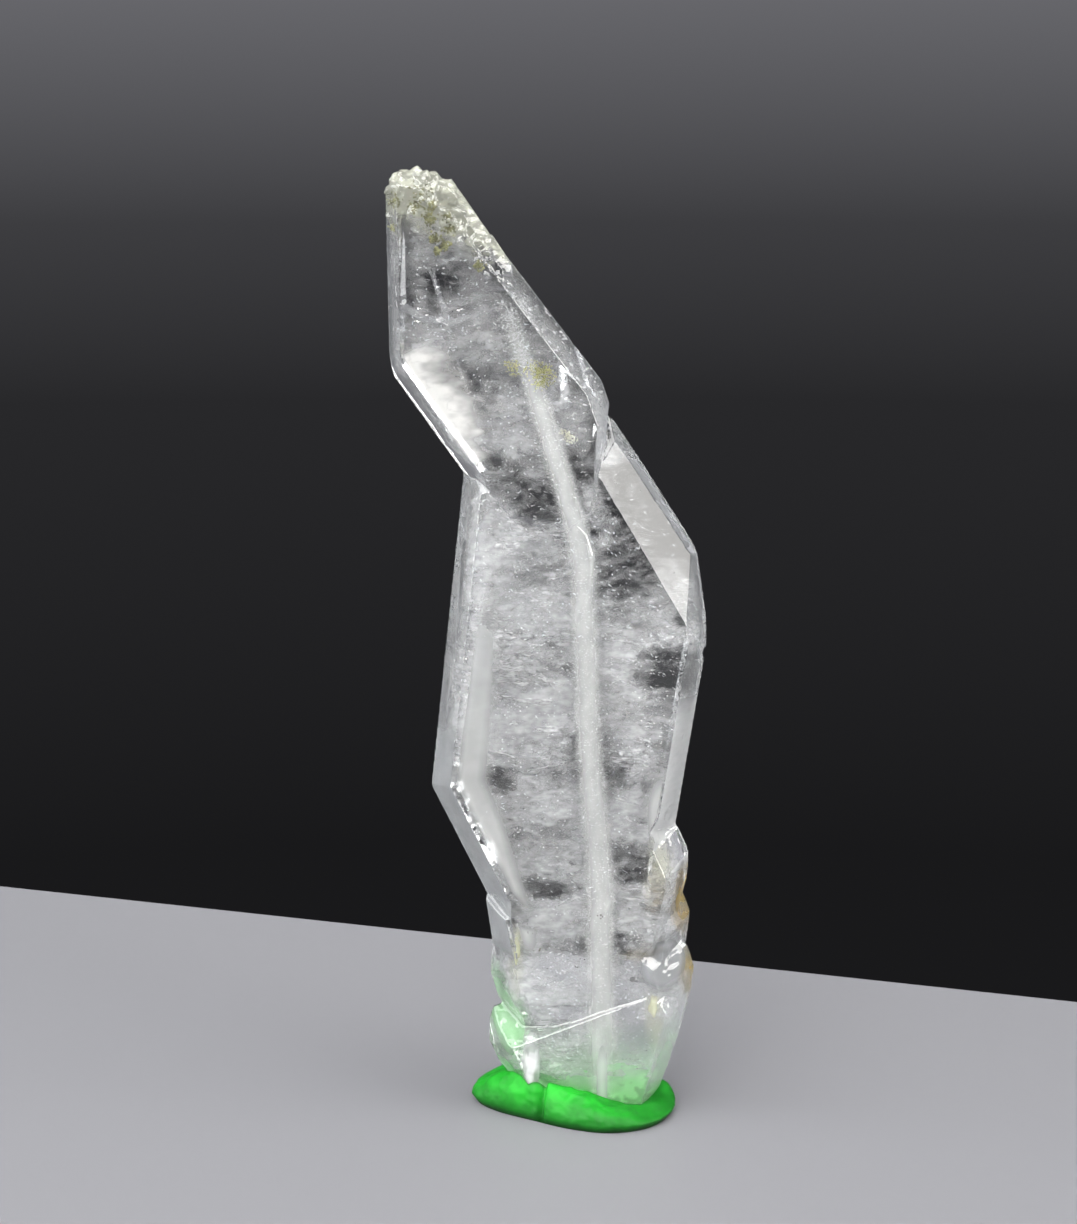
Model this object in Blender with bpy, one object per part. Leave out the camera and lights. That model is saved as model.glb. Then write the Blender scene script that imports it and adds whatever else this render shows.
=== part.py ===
"""A faden quartz: flat quartz crystals grown together along a white thread, stood up in a pad of putty.

The specimen stands on z = 0 with its origin under the middle of its box. +X is to the right and
+Z is up for someone who looks at the front, which faces -Y. Lengths are in millimetres while the
solids are made, and in metres once they are finished.
"""

import math
import random

import bmesh
import bpy
from mathutils import Matrix, Vector, noise
from mathutils.bvhtree import BVHTree

MM = 0.001                  # one millimetre in metres, the last scale of every solid
WELD = 0.0015               # points closer than this are one point
SEED = 11

# ---------------------------------------------------------------- driving dimensions
PRISM_SLOPE = 60.0          # degrees between a prism face and the flat side of a quartz plate
STEEP_SLOPE = 74.0          # the steep flank of a plate that stands proud of its neighbour
RHOMB_SLOPE = 36.0          # the broad end face of the main crystal
LEDGE_SLOPE = 45.0          # the little risers round the growth layers
BLOCK = 200.0               # edge of the rough block that a crystal is cut from

# A crystal's outline is a list of corners, (x, z), going clockwise as seen from the front. After
# each corner come the slopes of the front and back faces on the edge that starts there, and the
# depth (y) of that edge.
MAIN_FRONT = -2.7
MAIN_BACK = 2.6
MAIN_OUTLINE = (
    (-6.1, 52.6, 40, 25, 0.6),
    (4.5, 54.1, 66, 50, 0.8),
    (6.6, 51.0, 66, 50, 0.8),
    (11.0, 44.1, 62, 58, 0.5),
    (11.95, 37.8, PRISM_SLOPE, 57, 0.0),
    (9.6, 22.6, 55, 55, 0.0),
    (5.0, 14.5, 50, 60, 0.0),
    (-2.0, 13.5, 60, 60, 0.0),
    (-4.8, 17.3, 59, 48, 0.0),
    (-9.0, 25.9, 61, 47, -0.1),
)
# The broad end face and the narrow one under it: the line where each starts, and its slope.
END_FACE = ((4.1, 48.8), (10.0, 39.1), -2.6, RHOMB_SLOPE)
UNDER_FACE = ((3.3, 47.6), (10.8, 37.0), MAIN_FRONT, 8.0)

UPPER_FRONT = -2.75
UPPER_BACK = 2.0
UPPER_PIVOT = (-5.1, -2.75, 48.0)
UPPER_YAW = -3.0            # the upper crystal's right side stands proud of the main one
UPPER_PITCH = 3.3           # and its foot sinks into it
UPPER_OUTLINE = (
    (-11.9, 70.4, 80, 78, -0.4),
    (-10.8, 72.0, 70, 72, -0.4),
    (-8.7, 71.6, 66, 70, -0.4),
    (-5.9, 69.4, 61, 64, -0.5),
    (3.7, 56.8, 62, 66, -0.5),
    (4.25, 55.2, STEEP_SLOPE, 66, -0.4),
    (3.7, 47.2, STEEP_SLOPE, 66, -0.6),
    (2.0, 45.9, 12, 60, -2.6),
    (-4.35, 46.8, 60, 60, -0.4),
    (-11.6, 57.1, 65, 62, -0.3),
    (-11.85, 58.4, 66, 63, -0.4),
)
# A shallow face ground across the upper crystal's lower left corner.
GLINT_FACE = ((-5.7, 50.2), (-9.9, 61.0), UPPER_FRONT, 5.0)

# The foot is a stack of short crystals that broke from their bed.
FOOT_STEPS = {
    "shank": {
        "front": -2.66, "back": 2.55, "yaw": 0.3, "pitch": 0.2, "pivot": (3.0, -2.66, 17.0),
        "outline": (
            (-4.7, 19.5, 60, 60, 0.0),
            (2.0, 25.0, 60, 60, 0.0),
            (8.6, 25.2, 60, 60, 0.0),
            (9.45, 22.3, 61, 57, 0.1),
            (9.0, 13.3, 56, 60, 0.0),
            (7.0, 6.4, 60, 60, 0.0),
            (-2.4, 6.4, 60, 60, 0.0),
            (-4.0, 12.0, 58, 60, 0.0),
            (-4.75, 17.0, 57, 63, 0.1),
        ),
    },
    "shoulder": {
        "front": -2.5, "back": 2.3, "yaw": -2.0, "pitch": 1.0, "pivot": (3.0, 0.0, 18.0),
        "outline": (
            (-5.3, 21.5, 60, 60, 0.0),
            (6.9, 24.9, 52, 55, 0.3),
            (9.8, 22.7, 50, 58, 0.2),
            (10.65, 20.8, 56, 59, 0.1),
            (10.6, 18.9, 58, 62, 0.0),
            (9.0, 11.8, 60, 60, 0.0),
            (-3.4, 11.8, 60, 60, 0.0),
            (-4.85, 17.5, 62, 58, 0.1),
        ),
    },
    "waist": {
        "front": -2.3, "back": 2.5, "yaw": 3.0, "pitch": -1.0, "pivot": (3.0, 0.0, 13.0),
        "outline": (
            (-4.95, 17.15, 55, 59, 0.2),
            (0.8, 19.9, 50, 50, 0.2),
            (10.1, 17.8, 48, 52, 0.3),
            (10.95, 15.6, 52, 58, 0.2),
            (10.6, 13.0, 58, 60, 0.1),
            (9.4, 8.6, 60, 60, 0.0),
            (-3.4, 8.6, 60, 60, 0.0),
            (-4.5, 14.1, 64, 60, 0.0),
        ),
    },
    "ankle": {
        "front": -2.55, "back": 2.3, "yaw": -3.0, "pitch": -1.5, "pivot": (3.0, 0.0, 10.0),
        "outline": (
            (-4.45, 14.0, 58, 56, 0.0),
            (-1.0, 15.2, 50, 50, 0.0),
            (8.4, 15.0, 46, 52, 0.2),
            (10.7, 13.1, 44, 50, 0.3),
            (11.2, 11.4, 48, 56, 0.3),
            (10.9, 9.4, 54, 60, 0.1),
            (9.6, 6.0, 60, 60, 0.0),
            (-2.6, 6.0, 60, 60, 0.0),
            (-4.1, 9.0, 55, 58, 0.0),
            (-4.6, 10.8, 60, 60, 0.0),
        ),
    },
}
ROOT_FRONT = -2.9
ROOT_BACK = 2.5
ROOT_BASE = 0.8             # how far the crystal's lower end stays above the surface
ROOT_OUTLINE = (
    (-4.3, 8.3, 52, 56, 0.0),
    (-1.3, 9.3, 46, 50, 0.0),
    (8.1, 13.0, 44, 48, 0.2),
    (10.0, 12.0, 50, 54, 0.2),
    (11.1, 9.8, 58, 60, 0.1),
    (10.6, 7.6, 62, 62, 0.0),
    (9.3, 3.2, 66, 66, 0.0),
    (8.4, ROOT_BASE, 84, 84, 0.0),
    (-1.6, ROOT_BASE, 80, 80, 0.0),
    (-4.0, 3.7, 58, 58, 0.0),
    (-4.7, 5.3, 60, 62, 0.0),
    (-4.65, 7.1, 60, 62, 0.0),
)

# Thin growth layers that lie on the flat sides. Each rises towards one side and runs out to
# nothing on the other: height is how far it stands proud at its pivot.
LAYERS = {
    "thread_step": {
        "side": -1, "face_y": MAIN_FRONT, "height": 0.13, "yaw": -2.6, "pitch": 0.4,
        "pivot": (2.9, 43.0),
        "outline": ((-1.5, 46.6), (1.9, 46.4), (2.6, 45.7), (3.05, 44.1), (2.9, 42.0), (1.6, 38.0),
                    (-1.5, 38.0)),
    },
    "broken_ledge": {
        "side": -1, "face_y": -3.35, "height": 0.36, "yaw": 1.9, "pitch": -0.6,
        "pivot": (-9.0, 62.0),
        "outline": ((-10.4, 70.6), (-7.4, 70.6), (-3.4, 65.0), (-3.2, 62.6), (-6.9, 61.5), (-9.0, 61.8),
                    (-10.3, 62.6)),
    },
    "back_plate": {
        "side": 1, "face_y": MAIN_BACK, "height": 0.45, "yaw": -3.0, "pitch": -0.8,
        "pivot": (-4.0, 34.0),
        "outline": ((-4.6, 44.0), (2.4, 47.0), (7.0, 40.0), (6.5, 30.0), (1.0, 22.0), (-5.2, 24.5)),
    },
    "back_scale": {
        "side": 1, "face_y": 1.35, "height": 0.40, "yaw": 0.8, "pitch": 1.2,
        "pivot": (-1.5, 58.5),
        "outline": ((-8.6, 65.0), (-4.6, 66.4), (0.6, 58.4), (0.9, 55.4), (-5.2, 53.5)),
    },
}
LAYER_DEPTH = 0.5           # how deep a growth layer's root goes into the crystal under it

# Rough bits. Chips are bitten out of an edge, and grains of crust are built up on the tip.
CHIPS = (                   # centre (x, y, z) and radius
    (1.75, -1.2, 59.75, 0.42),
    (11.2, -0.4, 28.6, 0.75),
    (4.35, 0.2, 56.4, 0.35),
    (-6.8, -2.4, 20.9, 0.45),
    (12.1, -0.2, 36.2, 0.70),
    (9.9, -1.2, 24.0, 0.55),
    (-3.9, -2.5, 66.9, 0.55),
    (-0.6, -2.4, 63.0, 0.40),
    (-8.4, 1.5, 32.4, 0.60),
    (8.8, 2.0, 45.8, 0.55),
)
CRUST_GRAINS = 78           # grains of crust heaped round the broken tip
CRUST_HEART = (-9.6, -1.6, 69.7)
CRUST_GRAIN = (0.26, 0.85)  # smallest and largest radius
CRUST_SMALLNESS = 2.2       # the higher, the more of the grains are small
CRUST_FROM = 8.0            # how far out a grain starts before it lands on the crystal
CRUST_TRAIL = 26            # grains that run on down the right edge from the tip
TRAIL_START = (-7.4, 70.3)
TRAIL_END = (-3.6, 64.6)
TRAIL_GRAIN = (0.20, 0.42)  # smallest and largest radius at the start of the trail
TRAIL_SHRINK = 0.4          # share of their size that grains lose along the trail
LEFT_LIMIT = -12.0          # no grain reaches further left than this

# ---------------------------------------------------------------- the putty
PUTTY_MIDDLE = (2.2, -0.1)
PUTTY_OUTLINE = (           # x, y of the pad's widest line, which a smooth closed curve runs through
    (-6.2, 0.7), (-4.7, -1.5), (-1.6, -3.5), (1.4, -5.2), (4.6, -6.05), (7.7, -5.2), (9.6, -2.7),
    (9.9, 0.6), (8.6, 3.3), (5.5, 5.1), (1.5, 6.0), (-2.5, 5.2), (-5.3, 3.2),
)
PUTTY_POINTS_PER_SPAN = 6
PUTTY_RINGS = 10
PUTTY_SKIRT = 0.55          # height of the widest line, above the face the pad rests on
PUTTY_SOLE = 0.94           # share of the outline that the flat underside takes
PUTTY_LEFT_HEIGHT = 5.3     # the pad is pushed up on the left and thins out to the right
PUTTY_FALL = 0.33           # height lost for each millimetre to the right
PUTTY_BACK_FALL = 0.22      # and for each millimetre from the front contact line to the back
PUTTY_THINNEST = 1.25
THUMB_MARKS = (             # x, y, rise or dent, reach: where fingers pushed the putty
    (-5.4, 1.2, -1.5, 2.0),
    (9.2, 0.9, 1.25, 1.3),
    (-2.2, -2.6, 1.15, 1.7),
    (4.6, -4.4, -0.25, 1.6),
    (1.2, 4.6, -0.45, 2.0),
    (6.6, 3.6, 0.40, 1.9),
)
CREASE = (-0.9, -4.2, 0.40, 0.60)   # x, y, half width and depth of the fold pressed into the front
CREASE_LEAN = 0.25          # how far the fold moves right for each millimetre to the back
CREASE_HALF_LENGTH = 1.0
HAND_WAVES = (2.0, 0.25)    # length and height of the soft waves that kneading leaves
WAVE_SEED = 3.7
PUTTY_ROUNDING = 3.0        # how full the pad's edge is: 1 is a plain slope, more is fuller
RING_CROWDING = 1.7         # how much the rings crowd towards the edge
LEAST_LIFT = 0.2            # the top stays at least this far above the widest line
CLEARANCE = 0.3             # gap all round between the crystal and the putty's socket

CLEAR_QUARTZ = (0.93, 0.94, 0.95, 1.0)
GREEN_PUTTY = (0.02, 0.50, 0.05, 1.0)


# ---------------------------------------------------------------- tools
def clear_scene():
    for obj in list(bpy.data.objects):
        bpy.data.objects.remove(obj, do_unlink=True)


def cut(bm, point, normal):
    """Grinds off all that lies beyond the plane and leaves one flat face there."""
    everything = bm.verts[:] + bm.edges[:] + bm.faces[:]
    done = bmesh.ops.bisect_plane(bm, geom=everything, dist=1e-6, plane_co=point, plane_no=normal,
                                  clear_outer=True)
    rim = [item for item in done["geom_cut"] if isinstance(item, bmesh.types.BMEdge)]
    if rim:
        bmesh.ops.contextual_create(bm, geom=rim)


def sloped_face(bm, start, end, depth, slope, side, grow=0.0):
    """Cuts the face that starts on the line from start to end, (x, z), at that depth (y).

    The slope is measured from the plate's flat side: 0 lies in it, 90 stands square to it.
    side is -1 for a face turned to the front and 1 for one turned to the back.
    """
    run = (Vector(end) - Vector(start)).normalized()
    outward = Vector((-run.y, 0.0, run.x))
    tilt = math.radians(slope)
    normal = outward * math.sin(tilt) + Vector((0.0, side, 0.0)) * math.cos(tilt)
    cut(bm, Vector((start[0], depth, start[1])) + normal * grow, normal)


def turned(bm, yaw, pitch, pivot):
    """Turns a finished shape about a pivot: yaw about the upright, pitch about the level line."""
    turn = Matrix.Rotation(math.radians(yaw), 3, "Z") @ Matrix.Rotation(math.radians(pitch), 3, "X")
    bmesh.ops.rotate(bm, verts=bm.verts, cent=pivot, matrix=turn)


def plate(outline, front, back, more_faces=(), yaw=0.0, pitch=0.0, pivot=(0, 0, 0), grow=0.0):
    """A flat crystal: a block cut by its two flat sides and a sloped face each way on every edge."""
    bm = bmesh.new()
    bmesh.ops.create_cube(bm, size=BLOCK)
    cut(bm, (0.0, front - grow, 0.0), (0.0, -1.0, 0.0))
    cut(bm, (0.0, back + grow, 0.0), (0.0, 1.0, 0.0))
    for corner, following in zip(outline, outline[1:] + outline[:1]):
        start, end = corner[:2], following[:2]
        front_slope, back_slope, depth = corner[2:]
        sloped_face(bm, start, end, depth, front_slope, -1, grow)
        sloped_face(bm, start, end, depth, back_slope, 1, grow)
    for start, end, depth, slope in more_faces:
        sloped_face(bm, start, end, depth, slope, -1, grow)
    turned(bm, yaw, pitch, pivot)
    return bm


def layer(side, face_y, height, yaw, pitch, pivot, outline):
    """A thin growth layer rooted in the flat side at depth face_y."""
    top = face_y + side * height
    root = face_y - side * LAYER_DEPTH
    bm = bmesh.new()
    bmesh.ops.create_cube(bm, size=BLOCK)
    cut(bm, (0.0, top, 0.0), (0.0, side, 0.0))
    cut(bm, (0.0, root, 0.0), (0.0, -side, 0.0))
    for start, end in zip(outline, outline[1:] + outline[:1]):
        sloped_face(bm, start, end, top, LEDGE_SLOPE, side)
    turned(bm, yaw, pitch, (pivot[0], top, pivot[1]))
    return bm


def grain(centre, radius, rng):
    """One angular bit: a rough ball of twenty faces, turned and stretched at random."""
    bm = bmesh.new()
    bmesh.ops.create_icosphere(bm, subdivisions=1, radius=radius)
    for vert in bm.verts:
        vert.co *= rng.uniform(0.78, 1.12)
    stretch = Matrix.Diagonal([rng.uniform(0.75, 1.25) for _ in range(3)])
    turn = Matrix.Rotation(rng.uniform(0, math.tau), 3, rng_axis(rng))
    bmesh.ops.transform(bm, verts=bm.verts, matrix=(turn @ stretch).to_4x4())
    bmesh.ops.translate(bm, verts=bm.verts, vec=centre)
    return bm


def rng_axis(rng):
    return Vector((rng.uniform(-1, 1), rng.uniform(-1, 1), rng.uniform(0.2, 1))).normalized()


def as_object(name, bm):
    """Turns a shape into an object of that name, with its faces pointing out."""
    bmesh.ops.recalc_face_normals(bm, faces=bm.faces)
    mesh = bpy.data.meshes.new(name)
    bm.to_mesh(mesh)
    bm.free()
    obj = bpy.data.objects.new(name, mesh)
    bpy.context.scene.collection.objects.link(obj)
    return obj


def combine(obj, tools, operation):
    """Applies one exact Boolean with all the tools at once, and removes the tools."""
    tray = bpy.data.collections.new("tools")
    for tool in tools:
        tray.objects.link(tool)
    step = obj.modifiers.new("join", "BOOLEAN")
    step.operation = operation
    step.solver = "EXACT"
    step.operand_type = "COLLECTION"
    step.collection = tray
    evaluated = obj.evaluated_get(bpy.context.evaluated_depsgraph_get())
    mesh = bpy.data.meshes.new_from_object(evaluated)
    obj.modifiers.clear()
    obj.data = mesh
    for tool in tools:
        bpy.data.objects.remove(tool, do_unlink=True)
    bpy.data.collections.remove(tray)
    tidy(obj)
    return obj


def tidy(obj):
    """Melts the needle-thin edges that a Boolean leaves where faces nearly meet."""
    bm = bmesh.new()
    bm.from_mesh(obj.data)
    bmesh.ops.remove_doubles(bm, verts=bm.verts, dist=WELD)
    bmesh.ops.dissolve_degenerate(bm, edges=bm.edges, dist=WELD)
    bm.to_mesh(obj.data)
    bm.free()


def finish(obj, name, material):
    """Brings the mesh to metres and gives it its name and material."""
    bm = bmesh.new()
    bm.from_mesh(obj.data)
    bmesh.ops.triangulate(bm, faces=bm.faces)
    bm.to_mesh(obj.data)
    bm.free()
    obj.data.transform(Matrix.Scale(MM, 4))
    obj.name = name
    obj.data.name = name
    obj.data.materials.clear()
    obj.data.materials.append(material)
    print(name, len(obj.data.polygons), "triangles")
    return obj


def plain_material(name, color, roughness, transmission=0.0):
    material = bpy.data.materials.new(name)
    material.use_nodes = True
    shader = material.node_tree.nodes["Principled BSDF"]
    shader.inputs["Base Color"].default_value = color
    shader.inputs["Roughness"].default_value = roughness
    shader.inputs["Metallic"].default_value = 0.0
    shader.inputs["Transmission Weight"].default_value = transmission
    material.diffuse_color = color
    return material


# ---------------------------------------------------------------- the crystal
def landing(tree, start, direction):
    """Where a grain that comes from start along direction settles on the crystal."""
    spot = tree.ray_cast(Vector(start), Vector(direction))[0]
    return spot


def crust_grains(crystal, rng):
    """Grains heaped on the broken tip, and a thinning trail of them down its right edge."""
    tree = BVHTree.FromObject(crystal, bpy.context.evaluated_depsgraph_get())
    heart = Vector(CRUST_HEART)
    places = []
    for _ in range(CRUST_GRAINS):
        out = Vector((rng.uniform(-1, 1), rng.uniform(-0.8, 0.8), rng.uniform(-0.15, 1))).normalized()
        smallest, largest = CRUST_GRAIN
        radius = smallest + (largest - smallest) * rng.random() ** CRUST_SMALLNESS
        places.append((landing(tree, heart + out * CRUST_FROM, -out), radius))
    for number in range(CRUST_TRAIL):
        along = (number + rng.random()) / CRUST_TRAIL
        middle = Vector(TRAIL_START).lerp(Vector(TRAIL_END), along)
        aside = Vector((rng.uniform(-1.0, 0.6), rng.uniform(-0.5, 0.4)))
        front = (middle.x + aside.x, -BLOCK, middle.y + aside.y)
        radius = rng.uniform(*TRAIL_GRAIN) * (1.0 - TRAIL_SHRINK * along)
        places.append((landing(tree, front, (0, 1, 0)), radius))
    for spot, radius in places:
        if spot and spot.x - 1.2 * radius > LEFT_LIMIT:
            yield grain(spot, radius, rng)


def drop_loose(obj):
    """Deletes the small bits that a cut has set free, and keeps the one large body."""
    bm = bmesh.new()
    bm.from_mesh(obj.data)
    unseen = set(bm.verts)
    bodies = []
    while unseen:
        body = {unseen.pop()}
        front = list(body)
        while front:
            for edge in front.pop().link_edges:
                for vert in edge.verts:
                    if vert in unseen:
                        unseen.remove(vert)
                        body.add(vert)
                        front.append(vert)
        bodies.append(body)
    bodies.sort(key=len)
    for body in bodies[:-1]:
        bmesh.ops.delete(bm, geom=list(body), context="VERTS")
    bm.to_mesh(obj.data)
    bm.free()
    return obj


def make_crystal():
    rng = random.Random(SEED)
    main = plate(MAIN_OUTLINE, MAIN_FRONT, MAIN_BACK, more_faces=(END_FACE, UNDER_FACE))
    crystal = as_object("main", main)
    grown_on = [
        as_object("upper", plate(UPPER_OUTLINE, UPPER_FRONT, UPPER_BACK, (GLINT_FACE,),
                                 UPPER_YAW, UPPER_PITCH, UPPER_PIVOT)),
        as_object("root", plate(ROOT_OUTLINE, ROOT_FRONT, ROOT_BACK)),
    ]
    for name, step in FOOT_STEPS.items():
        shape = plate(step["outline"], step["front"], step["back"],
                      yaw=step["yaw"], pitch=step["pitch"], pivot=step["pivot"])
        grown_on.append(as_object(name, shape))
    for name, facts in LAYERS.items():
        grown_on.append(as_object(name, layer(**facts)))
    combine(crystal, grown_on, "UNION")
    chips = [as_object("chip", grain(spot[:3], spot[3], rng)) for spot in CHIPS]
    combine(crystal, chips, "DIFFERENCE")
    drop_loose(crystal)
    combine(crystal, [as_object("grain", bm) for bm in crust_grains(crystal, rng)], "UNION")
    return drop_loose(crystal)


# ---------------------------------------------------------------- the putty
def smooth_loop(points, steps):
    """A closed curve through the points (Catmull-Rom), with so many steps between each two."""
    loop = []
    count = len(points)
    for index in range(count):
        before, start, end, after = (Vector(points[(index + k) % count]) for k in (-1, 0, 1, 2))
        for step in range(steps):
            t = step / steps
            bend = 2 * before - 5 * start + 4 * end - after
            twist = 3 * start - before - 3 * end + after
            loop.append(0.5 * (2 * start + (end - before) * t + bend * t ** 2 + twist * t ** 3))
    return loop


def putty_height(x, y):
    """How high the pad stands well inside its edge."""
    height = PUTTY_LEFT_HEIGHT - PUTTY_FALL * (x - PUTTY_OUTLINE[0][0])
    height -= PUTTY_BACK_FALL * (y - ROOT_FRONT)
    height = max(height, PUTTY_THINNEST)
    for mark_x, mark_y, lift, reach in THUMB_MARKS:
        height += lift * math.exp(-((x - mark_x) ** 2 + (y - mark_y) ** 2) / reach ** 2)
    crease_x, crease_y, half_width, depth = CREASE
    across = (x - crease_x - CREASE_LEAN * (y - crease_y)) / half_width
    along = (y - crease_y) / CREASE_HALF_LENGTH
    height -= depth * math.exp(-across ** 2 - along ** 2)
    wave_length, wave_height = HAND_WAVES
    return height + wave_height * noise.noise(Vector((x / wave_length, y / wave_length, WAVE_SEED)))


def putty_ring(outline, share):
    """One ring of points on the pad's top. share runs from 0 at the widest line to 1 in the middle."""
    middle = Vector(PUTTY_MIDDLE)
    swell = math.sqrt(1.0 - (1.0 - share) ** PUTTY_ROUNDING)
    ring = []
    for point in outline:
        spot = middle + (point - middle) * (1.0 - share)
        lift = max(putty_height(spot.x, spot.y) - PUTTY_SKIRT, LEAST_LIFT)
        ring.append((spot.x, spot.y, PUTTY_SKIRT + lift * swell))
    return ring


def make_putty():
    """A pressed pad with a flat underside, and a socket that follows the crystal's lower end."""
    outline = smooth_loop(PUTTY_OUTLINE, PUTTY_POINTS_PER_SPAN)
    middle = Vector(PUTTY_MIDDLE)
    sole = [(*(middle + (point - middle) * PUTTY_SOLE), 0.0) for point in outline]
    shares = [(step / PUTTY_RINGS) ** RING_CROWDING for step in range(PUTTY_RINGS)]
    rings = [sole] + [putty_ring(outline, share) for share in shares]
    bm = bmesh.new()
    loops = [[bm.verts.new(point) for point in ring] for ring in rings]
    for lower, upper in zip(loops, loops[1:]):
        for index, corner in enumerate(lower):
            following = (index + 1) % len(lower)
            bm.faces.new((corner, lower[following], upper[following], upper[index]))
    bm.faces.new(reversed(loops[0]))
    bm.faces.new(loops[-1])
    pad = as_object("pad", bm)
    socket = as_object("socket", plate(ROOT_OUTLINE, ROOT_FRONT, ROOT_BACK, grow=CLEARANCE))
    return combine(pad, [socket], "DIFFERENCE")


# ---------------------------------------------------------------- the specimen
def main():
    clear_scene()
    quartz = plain_material("clear_quartz", CLEAR_QUARTZ, 0.05, transmission=1.0)
    putty = plain_material("green_putty", GREEN_PUTTY, 0.55)
    finish(make_crystal(), "crystal", quartz)
    finish(make_putty(), "putty", putty)


main()
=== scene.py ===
# %% [markdown]
# # A faden quartz in green putty
# The specimen is a flat, clear quartz crystal with a white thread down its middle, stood up in a
# pressed pad of putty. The solids come ready made from the frame. This notebook gives them their
# looks: the skin of the quartz, all that is caught inside it, the putty, the light and the camera.
# Lists of places are in millimetres, and are turned into metres when a mesh is made.

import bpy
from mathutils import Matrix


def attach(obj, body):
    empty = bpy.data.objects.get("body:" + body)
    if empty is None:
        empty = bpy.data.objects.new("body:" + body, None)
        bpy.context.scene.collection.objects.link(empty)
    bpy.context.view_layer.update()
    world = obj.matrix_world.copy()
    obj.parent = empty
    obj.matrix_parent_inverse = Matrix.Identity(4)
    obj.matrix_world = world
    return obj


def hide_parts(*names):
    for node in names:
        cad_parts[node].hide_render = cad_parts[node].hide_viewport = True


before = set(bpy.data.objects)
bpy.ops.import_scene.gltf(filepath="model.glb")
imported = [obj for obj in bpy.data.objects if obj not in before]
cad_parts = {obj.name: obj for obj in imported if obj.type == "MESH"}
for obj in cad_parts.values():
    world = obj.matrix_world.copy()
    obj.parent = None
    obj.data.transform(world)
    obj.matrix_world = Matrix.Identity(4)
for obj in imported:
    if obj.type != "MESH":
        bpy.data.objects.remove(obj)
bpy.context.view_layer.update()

import math

import bmesh
import bpy
import numpy as np
from mathutils import Vector
from mathutils.bvhtree import BVHTree

MM = 0.001
print("solids in the frame:", sorted(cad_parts))

# %% [markdown]
# ## The camera
# The camera stands 180 mm in front of the specimen and looks 12 degrees down. It comes first, because
# it tells which sides show. A long lens keeps the upright edges nearly parallel.

# %% Camera
IMAGE_WIDTH, IMAGE_HEIGHT = 1077, 1224
FOCAL_PIXELS = 2400.0       # lens length, counted in pixels of the image
SENSOR = 36.0               # mm
LOOK_DOWN = 12.0            # degrees
CAMERA_PLACE = (-0.84, -176.07, 76.78)
NEAREST = 5.0               # mm, nothing closer to the camera is drawn

camera_data = bpy.data.cameras.new("camera")
camera_data.sensor_width = SENSOR
camera_data.lens = FOCAL_PIXELS * SENSOR / max(IMAGE_WIDTH, IMAGE_HEIGHT)
camera_data.clip_start = NEAREST * MM
camera = bpy.data.objects.new("camera", camera_data)
bpy.context.scene.collection.objects.link(camera)
camera.location = Vector(CAMERA_PLACE) * MM
camera.rotation_euler = (math.radians(90.0 - LOOK_DOWN), 0.0, 0.0)
bpy.context.scene.camera = camera
print("lens", round(camera_data.lens, 1), "mm")

# %% [markdown]
# ## Small tools
# Every object here stays at the origin, with its place in its own points. A mesh can be changed point
# by point in a Python loop, but numpy does all points at once and is far faster.


# %% Meshes as arrays of points
def link(name, mesh):
    """Puts a mesh in the scene as an object at the origin."""
    mesh.name = name
    obj = bpy.data.objects.new(name, mesh)
    bpy.context.scene.collection.objects.link(obj)
    return obj


def vectors_of(data, key):
    """One vector from each item of a mesh's data."""
    flat = np.zeros(len(data) * 3, np.float32)
    data.foreach_get(key, flat)
    return flat.reshape(-1, 3).astype(float)


def points_of(mesh):
    """All points of a mesh, in millimetres."""
    return vectors_of(mesh.vertices, "co") / MM


def move_points(mesh, points):
    mesh.vertices.foreach_set("co", (points * MM).astype(np.float32).ravel())
    mesh.update()


print("solid crystal:", np.ptp(points_of(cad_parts["crystal"].data), axis=0).round(1), "mm across")


# %% Numbers painted on points, and finished meshes
def paint_points(mesh, name, values):
    """Writes one number for each point, for a material to read."""
    layer = mesh.attributes.new(name, "FLOAT", "POINT")
    layer.data.foreach_set("value", values.astype(np.float32))


def painted_on(mesh, name):
    """The numbers that a mesh's points carry under that name."""
    values = np.zeros(len(mesh.vertices), np.float32)
    mesh.attributes[name].data.foreach_get("value", values)
    return values


def smooth_piece(name, points, faces, milk=None, material=None):
    """A smooth piece from points (mm) and faces. milk says how solid each point is."""
    mesh = bpy.data.meshes.new(name)
    mesh.from_pydata((points * MM).tolist(), [], faces)
    if milk is not None:
        paint_points(mesh, "milk", milk)
    mesh.shade_smooth()
    if material:
        mesh.materials.append(material)
    return link(name, mesh)


def baked(obj):
    """Swaps an object's mesh for the result of its modifiers, and clears them."""
    evaluated = obj.evaluated_get(bpy.context.evaluated_depsgraph_get())
    mesh = bpy.data.meshes.new_from_object(evaluated)
    obj.modifiers.clear()
    obj.data = mesh
    return mesh


# %% [markdown]
# Natural surfaces need noise, which is randomness that is smooth over a chosen distance. The noise
# here gives each whole-numbered cell of space a fixed random value and blends between cells. It is
# the same on every run, because it is worked out from the cell's numbers and a seed.


# %% Noise
CELL_FACTORS = np.array([73856093, 19349663, 83492791])     # large odd numbers stir the bits well
SEED_FACTOR = 7919
STIRS = ((13, 1274126177), (15, 668265263))                 # shift and factor of each stir
BITS_32, BITS_24 = 0xFFFFFFFF, 0xFFFFFF


def cell_value(cells, seed):
    """A fixed random number from 0 to 1 for each cell of space."""
    mixed = cells.astype(np.int64) @ CELL_FACTORS + seed * SEED_FACTOR
    for shift, factor in STIRS:
        mixed = (mixed ^ (mixed >> shift)) * factor & BITS_32
    mixed ^= mixed >> 16
    return (mixed & BITS_24) / BITS_24


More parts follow.
